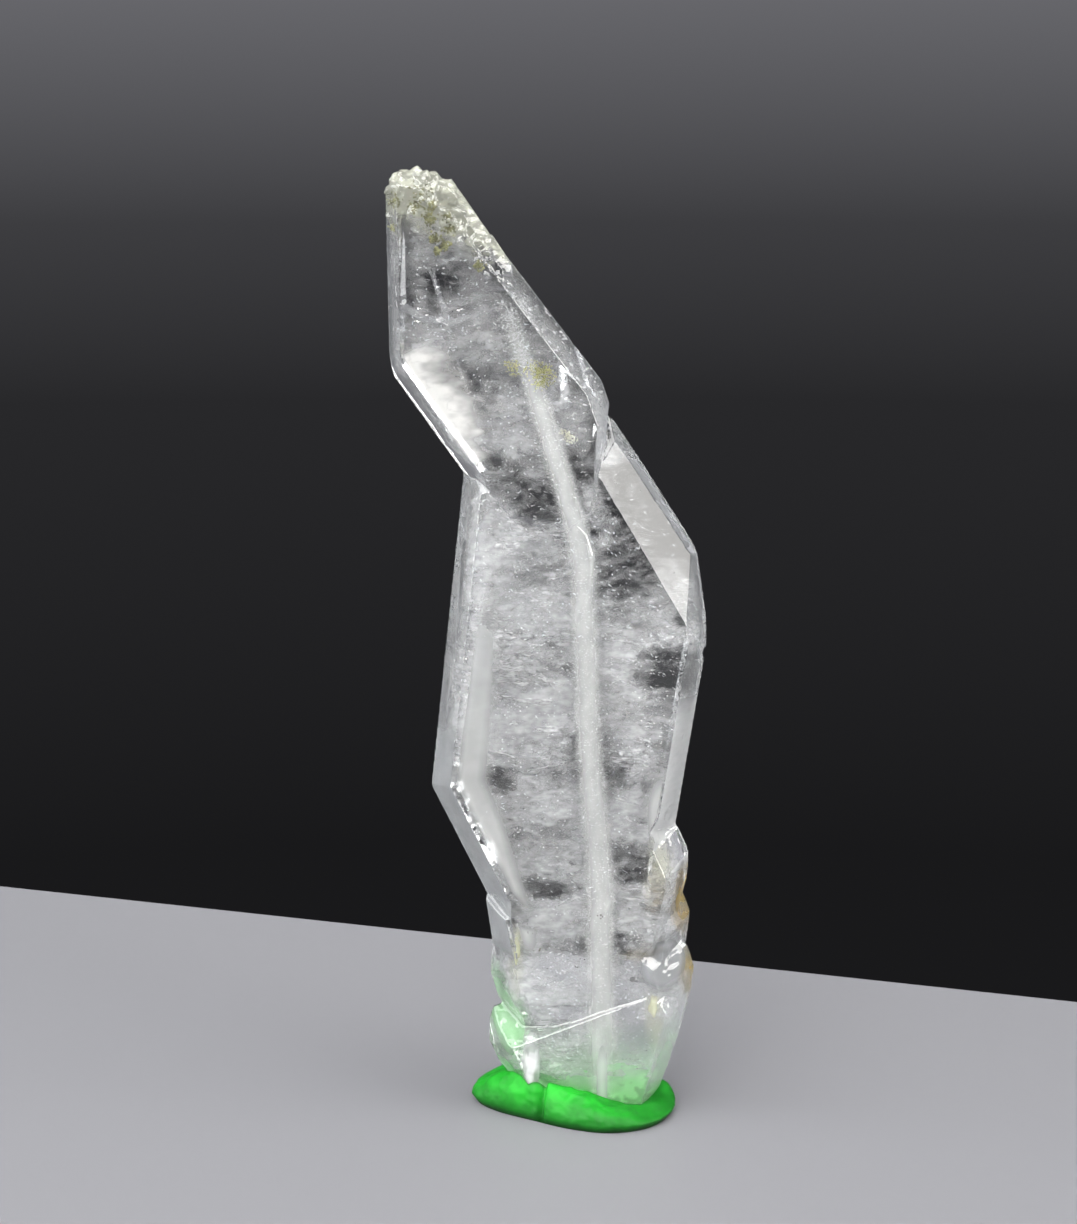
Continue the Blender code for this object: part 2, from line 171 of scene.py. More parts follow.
def smooth_noise(points, size, seed=0):
    """Noise from 0 to 1. size is the width of one cell, or three widths for x, y and z."""
    scaled = points / np.asarray(size, float)
    base = np.floor(scaled)
    blend = scaled - base
    blend = blend * blend * (3 - 2 * blend)
    total = np.zeros(len(points))
    for corner in np.ndindex(2, 2, 2):
        weight = np.prod(np.where(corner, blend, 1 - blend), axis=1)
        total += weight * cell_value(base + corner, seed)
    return total


def layered_noise(points, size, seed=0, layers=3):
    """Noise with finer noise on top of it, from 0 to 1."""
    size = np.asarray(size, float)
    total = sum(smooth_noise(points, size / 2 ** n, seed + n) / 2 ** n for n in range(layers))
    return total / sum(1 / 2 ** n for n in range(layers))


sample = layered_noise(np.arange(3000.0).reshape(-1, 3) * 0.37, 2.0)
print("noise runs from", round(sample.min(), 2), "to", round(sample.max(), 2))


# %% [markdown]
# Materials and Geometry Nodes are both graphs of nodes. One helper adds a node, sets its options and
# fills its inputs, with a plain value or with a wire from another node.


# %% One helper for every node tree
def add(tree, kind, inputs=None, **options):
    """Adds a node. inputs maps a socket's name or number to a value or to another node's output."""
    node = tree.nodes.new(kind)
    for key, value in options.items():
        setattr(node, key, value)
    for key, value in (inputs or {}).items():
        if isinstance(value, bpy.types.NodeSocket):
            tree.links.new(value, node.inputs[key])
        else:
            node.inputs[key].default_value = value
    return node


def calculate(tree, operation, *values):
    """One step of arithmetic."""
    return add(tree, "ShaderNodeMath", dict(enumerate(values)), operation=operation).outputs[0]


def ramp(tree, factor, *stops):
    """A colour for each value of factor, from stops of (position, grey or colour)."""
    node = add(tree, "ShaderNodeValToRGB", {"Fac": factor})
    elements = node.color_ramp.elements
    while len(elements) < len(stops):
        elements.new(0.5)
    for element, (position, color) in zip(elements, stops):
        element.position = position
        element.color = (*color, 1.0) if isinstance(color, tuple) else (color, color, color, 1.0)
    return node.outputs["Color"]


def solid_noise(tree, size, detail=2.0, stretch=(1, 1, 1)):
    """Shader noise in the object's own space, with lumps of that size in millimetres."""
    where = add(tree, "ShaderNodeTexCoord")
    place = add(tree, "ShaderNodeMapping", {"Vector": where.outputs["Object"], "Scale": stretch})
    texture = add(tree, "ShaderNodeTexNoise", {"Vector": place.outputs["Vector"],
                                               "Scale": 1 / (size * MM), "Detail": detail})
    return texture.outputs["Fac"]


# %% Materials
def painted_number(tree, name):
    """The number of that name that is painted on the mesh's points."""
    return add(tree, "ShaderNodeAttribute", attribute_name=name).outputs["Fac"]


def new_material(name, roughness=0.5, color=None, **uniform):
    """A material, its tree and its Principled shader. uniform holds more of the shader's numbers."""
    material = bpy.data.materials.new(name)
    material.use_nodes = True
    tree = material.node_tree
    shader = tree.nodes["Principled BSDF"]
    shader.inputs["Roughness"].default_value = roughness
    if color:
        shader.inputs["Base Color"].default_value = (*color, 1.0)
    for key, value in uniform.items():
        shader.inputs[key.replace("_", " ")].default_value = value
    return material, tree, shader


def noise_tint(tree, shader, size, dark, light, detail=2.0):
    """Colours a shader between dark and light by noise with lumps of that size."""
    tint = ramp(tree, solid_noise(tree, size, detail), (0.35, dark), (0.65, light))
    tree.links.new(tint, shader.inputs["Base Color"])
    return tint


# %% [markdown]
# ## The finish of clear quartz
# Rock crystal is clear, so its looks come from what light does at its skin and inside it. A
# Principled shader with full transmission and quartz's own refraction of 1.544 does both. A little
# absorption greys the long way through the plate. Roughness changes slightly over the faces, as on
# real quartz, where some faces are mirror bright and others have a faint frost.


# %% Clear quartz
QUARTZ_IOR = 1.544
POLISHED, DULLED = 0.01, 0.08           # roughness of the brightest and the faintly frosted places
ABSORBED_TINT = (0.84, 0.87, 0.89, 1.0)
ABSORPTION = 22.0                       # per metre


def clear_quartz():
    material, tree, shader = new_material("clear_quartz", color=(0.98, 0.985, 0.99),
                                          Transmission_Weight=1.0, IOR=QUARTZ_IOR)
    haze = ramp(tree, solid_noise(tree, 3.0, 4.0), (0.45, POLISHED), (0.8, DULLED))
    rough = calculate(tree, "ADD", haze, painted_number(tree, "frost"))
    tree.links.new(rough, shader.inputs["Roughness"])
    absorb = add(tree, "ShaderNodeVolumeAbsorption", {"Color": ABSORBED_TINT, "Density": ABSORPTION})
    tree.links.new(absorb.outputs["Volume"], tree.nodes["Material Output"].inputs["Volume"])
    return material


quartz = clear_quartz()
print("made", quartz.name)

# %% [markdown]
# ## The skin of the crystal
# The solid in the frame has the right faces but perfectly sharp edges. Real edges are a little worn,
# and each one catches the light as a bright hairline. A bevel could round them, but it fails where
# small faces crowd. Rebuilding the skin on a fine voxel grid rounds every edge by about one voxel,
# however crowded. The grid is fine enough for relief, which is then pushed in point by point, and
# decimation takes away the triangles that flat faces don't need.

# %% Rebuild the skin on a fine grid
VOXEL = 0.1                 # mm, and so about the width of a worn edge
SKIN_TRIANGLES = 190000
MERGE_DISTANCE = 1e-6       # m


def merged_copy(node, name):
    """A copy of a solid from the frame, with its loose triangles joined."""
    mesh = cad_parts[node].data.copy()
    bm = bmesh.new()
    bm.from_mesh(mesh)
    bmesh.ops.remove_doubles(bm, verts=bm.verts, dist=MERGE_DISTANCE)
    bm.to_mesh(mesh)
    bm.free()
    mesh.materials.clear()
    return link(name, mesh)


bare_crystal = merged_copy("crystal", "bare_crystal")
crystal = merged_copy("crystal", "rock_crystal")
grid = crystal.modifiers.new("grid", "REMESH")
grid.mode = "VOXEL"
grid.voxel_size = VOXEL * MM
baked(crystal)
print("fine skin:", len(crystal.data.vertices), "points")

# %% [markdown]
# Prism faces of quartz carry fine grooves that run across them, and small pits. The two flat sides
# only roll a little. Where a piece broke off, the surface is hackly. Each of these is a noise of its
# own shape, and a mask says where it counts.

# %% Relief
# Rough patches: middle (x, y, z), reach and depth.
ROUGH_PATCHES = (
    ((-4.6, -3.2, 66.2), 1.6, 0.16),
    ((-6.0, -3.3, 67.6), 1.5, 0.14),
    ((-3.2, -3.2, 64.2), 1.3, 0.12),
    ((-9.5, -3.4, 62.1), 1.2, 0.14),
    ((-6.6, -3.4, 61.6), 1.4, 0.12),
    ((11.6, -1.2, 36.6), 1.3, 0.20),
    ((9.4, -1.8, 24.0), 1.0, 0.15),
    ((9.4, -1.8, 13.5), 1.6, 0.18),
    ((-4.2, -1.5, 12.0), 2.2, 0.10),
    ((-1.6, -2.6, 4.8), 1.4, 0.18),
)
FLAT_LIMIT = 0.93           # a face whose normal has less y than this belongs to the rim
ROLL, GROOVES, PITS = 0.010, 0.010, 0.14    # mm, how far each kind of relief goes


def relief(points, normals):
    """How far each point of the skin is pushed out, in mm."""
    flank = np.clip((FLAT_LIMIT - np.abs(normals[:, 1])) / 0.1, 0, 1)
    push = ROLL * (layered_noise(points, (5.0, 5.0, 3.5), 3) - 0.5)
    push += flank * GROOVES * (smooth_noise(points, (0.45, 6.0, 0.30), 11) - 0.5)
    push -= flank * PITS * np.clip(smooth_noise(points, 0.6, 17) - 0.78, 0, 1)
    hackle = np.abs(smooth_noise(points, (0.8, 0.8, 0.5), 23) - 0.5) * 2
    for middle, reach, depth in ROUGH_PATCHES:
        away = np.linalg.norm(points - np.array(middle), axis=1)
        push -= depth * np.clip(1.3 - away / reach, 0, 1) * hackle
    return push


print("rough patches:", len(ROUGH_PATCHES))


# %% Push the relief in and thin the skin
skin_points = points_of(crystal.data)
skin_normals = vectors_of(crystal.data.vertex_normals, "vector")
push = relief(skin_points, skin_normals)
skin_points += skin_normals * push[:, None]
skin_quads = np.zeros(len(crystal.data.loops), np.int32)
crystal.data.loops.foreach_get("vertex_index", skin_quads)
skin_quads = skin_quads.reshape(-1, 4)
move_points(crystal.data, skin_points)
thin = crystal.modifiers.new("thin", "DECIMATE")
thin.ratio = SKIN_TRIANGLES / (2 * len(crystal.data.polygons))
thin.use_collapse_triangulate = True
baked(crystal)
crystal.data.shade_smooth()
print("relief:", round(push.min(), 3), "to", round(push.max(), 3), "mm")

# %% [markdown]
# The tip is etched and crusted, so it is less clear than the rest. The border of that zone is ragged and
# runs down to the right. How rough a place is there becomes a number on each point, which the finish
# adds to its own roughness. Weighted normals then keep the flat faces flat in the light.

# %% Frost on the tip
CRUST_HEIGHT = 68.9         # where the crust begins on the left edge
CRUST_SLOPE = 0.45          # it reaches lower on the right
CRUST_RAGGED = 2.6          # mm
LEFT_EDGE = -11.8
TIP_FROST = 0.16            # added to the roughness over the first 2.5 mm


def above_crust_line(points):
    """How far each point is up inside the crusted tip, in mm."""
    ragged = CRUST_RAGGED * (layered_noise(points, (0.9, 0.9, 0.7), 24) - 0.5)
    return points[:, 2] - CRUST_HEIGHT + CRUST_SLOPE * (points[:, 0] - LEFT_EDGE) + ragged


tip = np.interp(above_crust_line(points_of(crystal.data)), (0.0, 2.5), (0.0, TIP_FROST))
paint_points(crystal.data, "frost", tip)
even = crystal.modifiers.new("even", "WEIGHTED_NORMAL")
even.weight = 90
baked(crystal)
crystal.data.materials.append(quartz)
print("skin:", len(crystal.data.polygons), "triangles, frosted points:", int((tip > 0).sum()))

# %% [markdown]
# ## What is inside
# Faden quartz is full of healed cracks. Each is a film of tiny bubbles that scatters light, and
# together they make the milky veils. Where there are none, the quartz is a clear dark window. Fog in
# a volume shader could fake the milk, but fog has no sparkle and no mesh. Here it is made as what it
# is: thin wavy films, and many thousands of tiny flakes. First a map says how milky each place is.

# %% Where the quartz is clear
# Windows: middle (x, z), half width, half height, and how clear, from 0 to 1.
WINDOWS = (
    (-8.2, 64.6, 2.2, 1.1, 0.40),
    (-5.7, 61.2, 2.1, 0.7, 0.45),
    (-3.9, 50.7, 1.1, 0.8, 0.75),
    (2.2, 50.5, 0.9, 2.3, 0.75),
    (1.8, 54.9, 1.3, 1.5, 0.45),
    (-1.6, 48.2, 2.4, 1.3, 0.90),
    (-1.1, 42.6, 3.0, 1.5, 0.50),
    (6.2, 42.4, 3.0, 3.6, 0.85),
    (8.6, 35.3, 2.1, 1.7, 0.95),
    (-4.0, 26.6, 1.9, 1.0, 0.85),
    (1.2, 26.7, 1.4, 0.9, 0.60),
    (4.9, 26.9, 1.2, 1.0, 0.60),
    (7.9, 24.9, 1.0, 2.2, 0.50),
    (0.0, 17.9, 2.0, 0.9, 0.90),
    (6.6, 20.1, 1.9, 1.8, 0.85),
    (5.5, 13.5, 1.2, 1.0, 0.75),
    (1.0, 12.4, 2.5, 2.5, 0.40),
    (1.0, 7.8, 1.2, 0.7, 0.65),
    (6.6, 5.2, 1.2, 2.1, 0.70),
)
THREAD = (                  # the thread's middle line, (x, z)
    (-3.3, 62.7), (-1.5, 57.6), (-0.1, 53.2), (1.0, 49.4), (1.9, 46.4), (2.4, 43.4), (2.7, 36.6),
    (2.8, 32.7), (3.0, 28.8), (3.4, 24.8), (3.7, 20.9), (3.9, 16.9), (3.9, 12.8), (4.2, 1.0),
)
THREAD_DEPTH = -0.9         # y, nearer the front side than the back
END_FACE_LINE = ((3.4, 48.6), (9.9, 37.6))  # right of this line, behind the end face, the quartz is clear
END_FACE_LOW, END_FACE_HIGH = 38.5, 50.5
WINDOW_WARP = (2.6, 1.5)    # mm, how far noise bends the windows sideways and up
WINDOW_RAGGED, WINDOW_SOFT = 1.9, 0.55
BESIDE_THREAD = 1.2         # mm, the quartz in front of the thread is clearer this near to it
print("clear windows:", len(WINDOWS))


# %% Distances from the rim, the thread and a line
def rim_tree():
    """A search tree of the crystal's slanting edge faces."""
    mesh = bare_crystal.data
    faces = [tuple(p.vertices) for p in mesh.polygons if abs(p.normal.y) < FLAT_LIMIT and p.area > 0]
    return BVHTree.FromPolygons([v.co for v in mesh.vertices], faces)


rim = rim_tree()


def thread_x(z):
    return np.interp(z, [p[1] for p in THREAD][::-1], [p[0] for p in THREAD][::-1])


def rim_distance(points):
    return np.array([rim.find_nearest(Vector(p * MM))[3] for p in points]) / MM


def past_line(points, line):
    """How far right of a line (x, z) each point is, in mm."""
    start, end = (np.array(corner) for corner in line)
    run = (end - start) / np.linalg.norm(end - start)
    return (points[:, 2] - start[1]) * run[0] - (points[:, 0] - start[0]) * run[1]


print("the middle lies", rim_distance(np.array([(0.0, 0.0, 36.0)])).round(1)[0], "mm from the rim")


# %% The rule for the milk
def milkiness(points):
    """How milky the quartz is at each point, from 0 to 1."""
    milk = np.ones(len(points))
    x = points[:, 0] + WINDOW_WARP[0] * (smooth_noise(points, (1.5, 1.5, 0.9), 31) - 0.5)
    z = points[:, 2] + WINDOW_WARP[1] * (smooth_noise(points, (1.8, 1.5, 0.8), 32) - 0.5)
    streaks = layered_noise(points, (1.6, 1.0, 0.45), 33, 2) - 0.5
    for window_x, window_z, half_width, half_height, clear in WINDOWS:
        away = np.hypot((x - window_x) / half_width, (z - window_z) / half_height)
        milk *= 1 - clear * np.clip((1.3 - away + WINDOW_RAGGED * streaks) / WINDOW_SOFT, 0, 1)
    beside = (points[:, 0] - thread_x(points[:, 2])) / BESIDE_THREAD
    before = np.clip(0.5 - points[:, 1], 0, 1)
    milk *= 1 - 0.85 * np.exp(-beside ** 2) * before
    level = (points[:, 2] > END_FACE_LOW) & (points[:, 2] < END_FACE_HIGH)
    milk *= np.where(level, np.clip(0.6 - past_line(points, END_FACE_LINE), 0, 1), 1)
    milk *= 0.65 + 0.7 * (layered_noise(points, (6.0, 4.0, 4.0), 37, 2) - 0.25)
    return np.clip(milk, 0, 1)


def random_points(low, high, tries, density, seed):
    """Random points in the box from low to high, kept as often as density(points) says."""
    random = np.random.default_rng(seed)
    points = random.uniform(low, high, (tries, 3))
    return points[random.random(tries) < density(points)]


TRIES = 2000
inside_sample = random_points((-9, -2, 5), (9, 2, 55), TRIES, milkiness, 1)
print("share of milky places:", round(len(inside_sample) / TRIES, 2))

# %% [markdown]
# ## Node groups that keep things inside
# Films and flakes must not stick out of the quartz. A node group tells how deep a place lies inside
# the crystal: it measures the distance to the skin, and a ray shot to the back tells inside from
# outside, because from inside it meets the skin from behind.


# %% Start and end of a tree
def new_group(name, inputs, output=("Geometry", "Geometry")):
    """A Geometry Nodes tree with named inputs, each (name, kind) or (name, kind, value)."""
    tree = bpy.data.node_groups.new(name, "GeometryNodeTree")
    for label, kind, *value in inputs:
        socket = tree.interface.new_socket(label, in_out="INPUT", socket_type="NodeSocket" + kind)
        if value:
            socket.default_value = value[0]
    tree.interface.new_socket(output[0], in_out="OUTPUT", socket_type="NodeSocket" + output[1])
    return tree, add(tree, "NodeGroupInput").outputs


def end_tree(tree, node, material):
    """Gives what a node makes its material, and hands it out of the tree."""
    paint = add(tree, "GeometryNodeSetMaterial", {"Geometry": node.outputs[0], "Material": material})
    add(tree, "NodeGroupOutput", {"Geometry": paint.outputs[0]})
    print(f"tree {tree.name}: {len(tree.nodes)} nodes")
    return tree


# %% Depth below the skin
def make_depth_group():
    tree, given = new_group("depth_inside", [("Solid", "Object")], ("Depth", "Float"))
    solid = add(tree, "GeometryNodeObjectInfo", {"Object": given["Solid"]}).outputs["Geometry"]
    near = add(tree, "GeometryNodeProximity", {"Geometry": solid})
    look = add(tree, "GeometryNodeRaycast", {"Target Geometry": solid, "Ray Direction": (0, 1, 0)})
    leaving = add(tree, "ShaderNodeVectorMath", {0: look.outputs["Hit Normal"], 1: (0, 1, 0)},
                  operation="DOT_PRODUCT")
    inside = calculate(tree, "GREATER_THAN", leaving.outputs["Value"], 0.0)
    depth = calculate(tree, "MULTIPLY", inside, near.outputs["Distance"])
    add(tree, "NodeGroupOutput", {"Depth": depth})
    return tree


depth_group = make_depth_group()
print("depth group:", len(depth_group.nodes), "nodes")


def depth_inside(tree, solid):
    node = add(tree, "GeometryNodeGroup", node_tree=depth_group)
    tree.links.new(solid, node.inputs["Solid"])
    return node.outputs["Depth"]


# %% Random numbers in a tree
def random_vector(tree, seed):
    """A random vector with each part from -1 to 1."""
    return add(tree, "FunctionNodeRandomValue", {0: (-1, -1, -1), 1: (1, 1, 1), "Seed": seed},
               data_type="FLOAT_VECTOR").outputs[0]


def random_number(tree, low, high, seed):
    return add(tree, "FunctionNodeRandomValue", {2: low, 3: high, "Seed": seed},
               data_type="FLOAT").outputs[1]


def random_turn(tree, lean, spread, seed):
    """A rotation round lean, off by up to spread on each axis."""
    angles = add(tree, "ShaderNodeVectorMath", {0: random_vector(tree, seed), 1: spread, 2: lean},
                 operation="MULTIPLY_ADD").outputs[0]
    return add(tree, "FunctionNodeEulerToRotation", {"Euler": angles}).outputs[0]


# %% [markdown]
# ## From points to pieces
# Thousands of flakes and hundreds of films repeat one shape, so Geometry Nodes make them. The same steps
# serve every time. A mesh of loose points goes in, the modifier's inputs are set by their identifiers,
# and the evaluated result is kept as a plain mesh. What is left has no modifier that could change later.

# %% Use a tree on a cloud of points
def grow(tree, name, points, **settings):
    """Runs a tree on points (mm), with the tree's named inputs, and keeps the plain mesh."""
    cloud = bpy.data.meshes.new(name)
    cloud.from_pydata((points * MM).tolist(), [], [])
    obj = link(name, cloud)
    grower = obj.modifiers.new("grow", "NODES")
    grower.node_group = tree
    sockets = {item.name: item.identifier for item in tree.interface.items_tree if item.in_out == "INPUT"}
    for key, value in settings.items():
        grower[sockets[key.replace("_", " ")]] = value
    baked(obj)
    print(f"{name}: {len(points)} points, {len(obj.data.polygons)} faces")
    return obj


# %% [markdown]
# ## Flakes
# The milk in this quartz is countless tiny bubbles and healed breaks, each a few hundredths of a
# millimetre. A fog in a volume shader would be smooth and slow. Here each bubble is a small flat flake,
# squashed, turned at random, and deleted where it would touch the skin. A flake has only 4 faces, so
# many thousands of them stay light.

# %% The tree for flakes
def make_flake_tree():
    """A three-sided flake on each point that lies deeper than Margin inside Crystal."""
    tree, given = new_group("flakes", [
        ("Geometry", "Geometry"), ("Crystal", "Object"), ("Material", "Material"),
        ("Radius", "Float", 0.1 * MM), ("Thickness", "Float", 0.3), ("Stretch", "Float", 1.0),
        ("Lean", "Vector"), ("Spread", "Vector", (3.1, 3.1, 3.1)),
        ("Margin", "Float", 0.3 * MM), ("Seed", "Int")])
    cloud = add(tree, "GeometryNodeMeshToPoints", {"Mesh": given["Geometry"]})
    outside = calculate(tree, "LESS_THAN", depth_inside(tree, given["Crystal"]), given["Margin"])
    kept = add(tree, "GeometryNodeDeleteGeometry", {"Geometry": cloud.outputs[0], "Selection": outside},
               domain="POINT")
    height = calculate(tree, "MULTIPLY", given["Radius"], given["Thickness"])
    flake = add(tree, "GeometryNodeMeshCone", {"Vertices": 3, "Radius Top": 0.0, "Depth": height,
                                               "Radius Bottom": given["Radius"]}, fill_type="NGON")
    longer = add(tree, "ShaderNodeCombineXYZ", {"X": given["Stretch"], "Y": 1.0, "Z": 1.0})
    shaped = add(tree, "GeometryNodeTransform", {"Geometry": flake.outputs["Mesh"],
                                                 "Scale": longer.outputs[0]})
    turn = random_turn(tree, given["Lean"], given["Spread"], given["Seed"])
    put = add(tree, "GeometryNodeInstanceOnPoints", {
        "Points": kept.outputs[0], "Instance": shaped.outputs[0], "Rotation": turn,
        "Scale": random_number(tree, 0.5, 1.5, given["Seed"])})
    real = add(tree, "GeometryNodeRealizeInstances", {"Geometry": put.outputs[0]})
    return end_tree(tree, real, given["Material"])


flake_tree = make_flake_tree()

# %% [markdown]
# ## Films
# Healed cracks run through the quartz as thin wavy sheets of bubbles. A sheet could be sculpted, but
# hundreds are needed. The tree puts one grid on each point, turns it, bends it by noise and cuts off
# what lies outside the crystal. It also stores two numbers for the finish: how near the sheet's own
# border a point is, and how deep it lies below the skin.

# %% The tree for films
RIPPLES = 420.0             # per metre
RIPPLE_REACH = 4.0          # the noise keeps near its middle, so its swing is made larger


def make_film_tree():
    """A wavy sheet on each point, cut off where it comes nearer the skin than Margin."""
    tree, given = new_group("films", [
        ("Geometry", "Geometry"), ("Crystal", "Object"), ("Material", "Material"),
        ("Length", "Float", 9 * MM), ("Width", "Float", 6 * MM), ("Wave", "Float", 0.4 * MM),
        ("Columns", "Int", 25), ("Rows", "Int", 14),
        ("Shortest", "Float", 0.35), ("Longest", "Float", 1.3),
        ("Lean", "Vector"), ("Spread", "Vector", (0.5, 0.2, 0.5)),
        ("Margin", "Float", 0.2 * MM), ("Seed", "Int")])
    cloud = add(tree, "GeometryNodeMeshToPoints", {"Mesh": given["Geometry"]})
    sheet = add(tree, "GeometryNodeMeshGrid", {"Size X": given["Length"], "Size Y": given["Width"],
                                               "Vertices X": given["Columns"], "Vertices Y": given["Rows"]})
    across = add(tree, "ShaderNodeSeparateXYZ", {0: sheet.outputs["UV Map"]}).outputs
    humps = [calculate(tree, "MULTIPLY", way, calculate(tree, "SUBTRACT", 4.0, calculate(
        tree, "MULTIPLY", way, 4.0))) for way in (across["X"], across["Y"])]
    sheet = add(tree, "GeometryNodeStoreNamedAttribute", {
        "Geometry": sheet.outputs["Mesh"], "Name": "edge", "Value": calculate(tree, "MULTIPLY", *humps)},
        data_type="FLOAT")
    stretch = random_number(tree, given["Shortest"], given["Longest"], given["Seed"])
    size = add(tree, "ShaderNodeCombineXYZ", {"X": stretch, "Y": 1.0, "Z": 1.0})
    put = add(tree, "GeometryNodeInstanceOnPoints", {
        "Points": cloud.outputs[0], "Instance": sheet.outputs[0], "Scale": size.outputs[0],
        "Rotation": random_turn(tree, given["Lean"], given["Spread"], given["Seed"])})
    real = add(tree, "GeometryNodeRealizeInstances", {"Geometry": put.outputs[0]})
    ripple = add(tree, "ShaderNodeTexNoise", {"Scale": RIPPLES, "Detail": 2.0})
    centred = add(tree, "ShaderNodeVectorMath", {0: ripple.outputs["Color"], 1: (0.5, 0.5, 0.5)},
                  operation="SUBTRACT")
    strength = calculate(tree, "MULTIPLY", given["Wave"], RIPPLE_REACH)
    offset = add(tree, "ShaderNodeVectorMath", {0: centred.outputs[0], "Scale": strength},
                 operation="SCALE")
    bent = add(tree, "GeometryNodeSetPosition", {"Geometry": real.outputs[0], "Offset": offset.outputs[0]})
    depth = depth_inside(tree, given["Crystal"])
    noted = add(tree, "GeometryNodeStoreNamedAttribute", {"Geometry": bent.outputs[0], "Name": "depth",
                                                          "Value": depth}, data_type="FLOAT")
    outside = calculate(tree, "LESS_THAN", depth, given["Margin"])
    kept = add(tree, "GeometryNodeDeleteGeometry", {"Geometry": noted.outputs[0], "Selection": outside},
               domain="POINT")
    smooth = add(tree, "GeometryNodeSetShadeSmooth", {"Geometry": kept.outputs[0]})
    return end_tree(tree, smooth, given["Material"])


film_tree = make_film_tree()

# %% [markdown]
# ## Finishes for what is inside
# Bubbles look white because they scatter light, so their finish is a plain white one. A film is white
# only where bubbles crowd. Its transparency is worked out from the number painted on each point and
# from a fine solid noise, so the sheet breaks up into wisps instead of ending at an outline. Stains and
# tints use the plainest form: one colour, as solid as painted.

# %% White finishes
BUBBLES = (0.94, 0.945, 0.95)


def bubble_white(name, cool, warm):
    """White bubbles, a little cooler or warmer from place to place."""
    material, tree, shader = new_material(name, 0.35)
    noise_tint(tree, shader, 6.0, cool, warm)
    return material


def painted_film(name, color):
    """A soft film, as solid as its painted milk says."""
    material, tree, shader = new_material(name, color=color)
    tree.links.new(painted_number(tree, "milk"), shader.inputs["Alpha"])
    return material


def wispy_film(name, size, detail, stretch, clear, solid):
    """A film that is open where noise and crowding together stay under clear, and solid past solid."""
    material, tree, shader = new_material(name, color=BUBBLES)
    wisps = solid_noise(tree, size, detail, stretch)
    level = calculate(tree, "ADD", wisps, painted_number(tree, "crowd"))
    share = add(tree, "ShaderNodeMapRange", {"Value": level, "From Min": clear, "From Max": solid})
    milk = calculate(tree, "MULTIPLY", share.outputs[0], painted_number(tree, "milk"))
    tree.links.new(milk, shader.inputs["Alpha"])
    return material


thread_film = painted_film("thread_film", (0.96, 0.97, 0.95))
soft_film = painted_film("soft_film", (0.93, 0.94, 0.94))
veil_white = bubble_white("veil_white", (0.84, 0.88, 0.94), (0.94, 0.94, 0.91))
thread_white = bubble_white("thread_white", (0.90, 0.92, 0.94), (0.96, 0.96, 0.94))
milky_film = wispy_film("milky_film", 0.45, 4.0, (0.55, 1.0, 1.15), 0.98, 1.32)
crinkled = wispy_film("crinkled_film", 0.6, 6.0, (0.6, 1.0, 1.25), 0.50, 1.18)
inside_finishes = (thread_film, soft_film, veil_white, thread_white, milky_film, crinkled)
print("finishes for the inside:", ", ".join(finish.name for finish in inside_finishes))

# %% [markdown]
# ## Films through the crystal
# Most films lie nearly level, because the thread cracked and healed again and again while the crystal
# grew. Some stand steep. Three large, thin veils run through the whole plate and give the even, finely
# crinkled milk between the films. Every film gets its milk from the same rule, so all of them leave
# the same windows open. Only the three veils run on there, as a few thin wisps.

# %% How milky a film is
SHARE = 1.0
FADE_IN = 0.6                       # mm below the skin over which a film gets its full strength
UPPER_CRYSTAL = (48.0, 56.0)        # z, over which the upper crystal takes over


def milk_on(obj, strength, clear_rim, above=1.0, wisps=False):
    """Paints how milky each point of a film is.

    clear_rim is left clear behind the edge faces, in mm. above is the share of strength that is left in
    the upper crystal. Films of wisps run on, thinner, through the clear windows.
    """
    mesh = obj.data
    points = points_of(mesh)
    fade = np.clip(painted_on(mesh, "depth") / (FADE_IN * MM), 0, 1)
    fade = np.clip(rim_distance(points) / clear_rim - 0.4, 0, 1) * fade
    strength = strength * np.interp(points[:, 2], UPPER_CRYSTAL, (1.0, above))
    clouds = layered_noise(points, (2.2, 1.2, 1.0), 71)
    milk = milkiness(points)
    if wisps:
        banks = layered_noise(points, (4.5, 6.0, 2.2), 72) - 0.5
        paint_points(mesh, "milk", strength * fade)
        paint_points(mesh, "crowd", 0.30 * (clouds - 0.5) + 0.55 * banks + 0.42 * milk)
    else:
        milk = strength * milk * fade * np.clip(1.6 * painted_on(mesh, "edge"), 0, 1)
        paint_points(mesh, "milk", milk)
        paint_points(mesh, "crowd", 0.28 * (clouds - 0.5) + 0.66 * milk)


# %% Place the films
FILMS_LOW, FILMS_HIGH, FILMS_ASIDE, FILMS_DEEP = 1.5, 70.5, 9.0, 0.4
BEND_HEIGHT, BEND_MIDDLE = (0, 20, 35, 50, 60, 72), (3, 3, 1.5, 0, -5, -10)     # z, and the middle's x


def film_places(count, seed):
    """Places for films, spread evenly along the bent crystal."""
    random = np.random.default_rng(seed)
    z = random.uniform(FILMS_LOW, FILMS_HIGH, count)
    x = np.interp(z, BEND_HEIGHT, BEND_MIDDLE) + random.uniform(-FILMS_ASIDE, FILMS_ASIDE, count)
    return np.c_[x, random.uniform(-FILMS_DEEP, FILMS_DEEP, count), z]


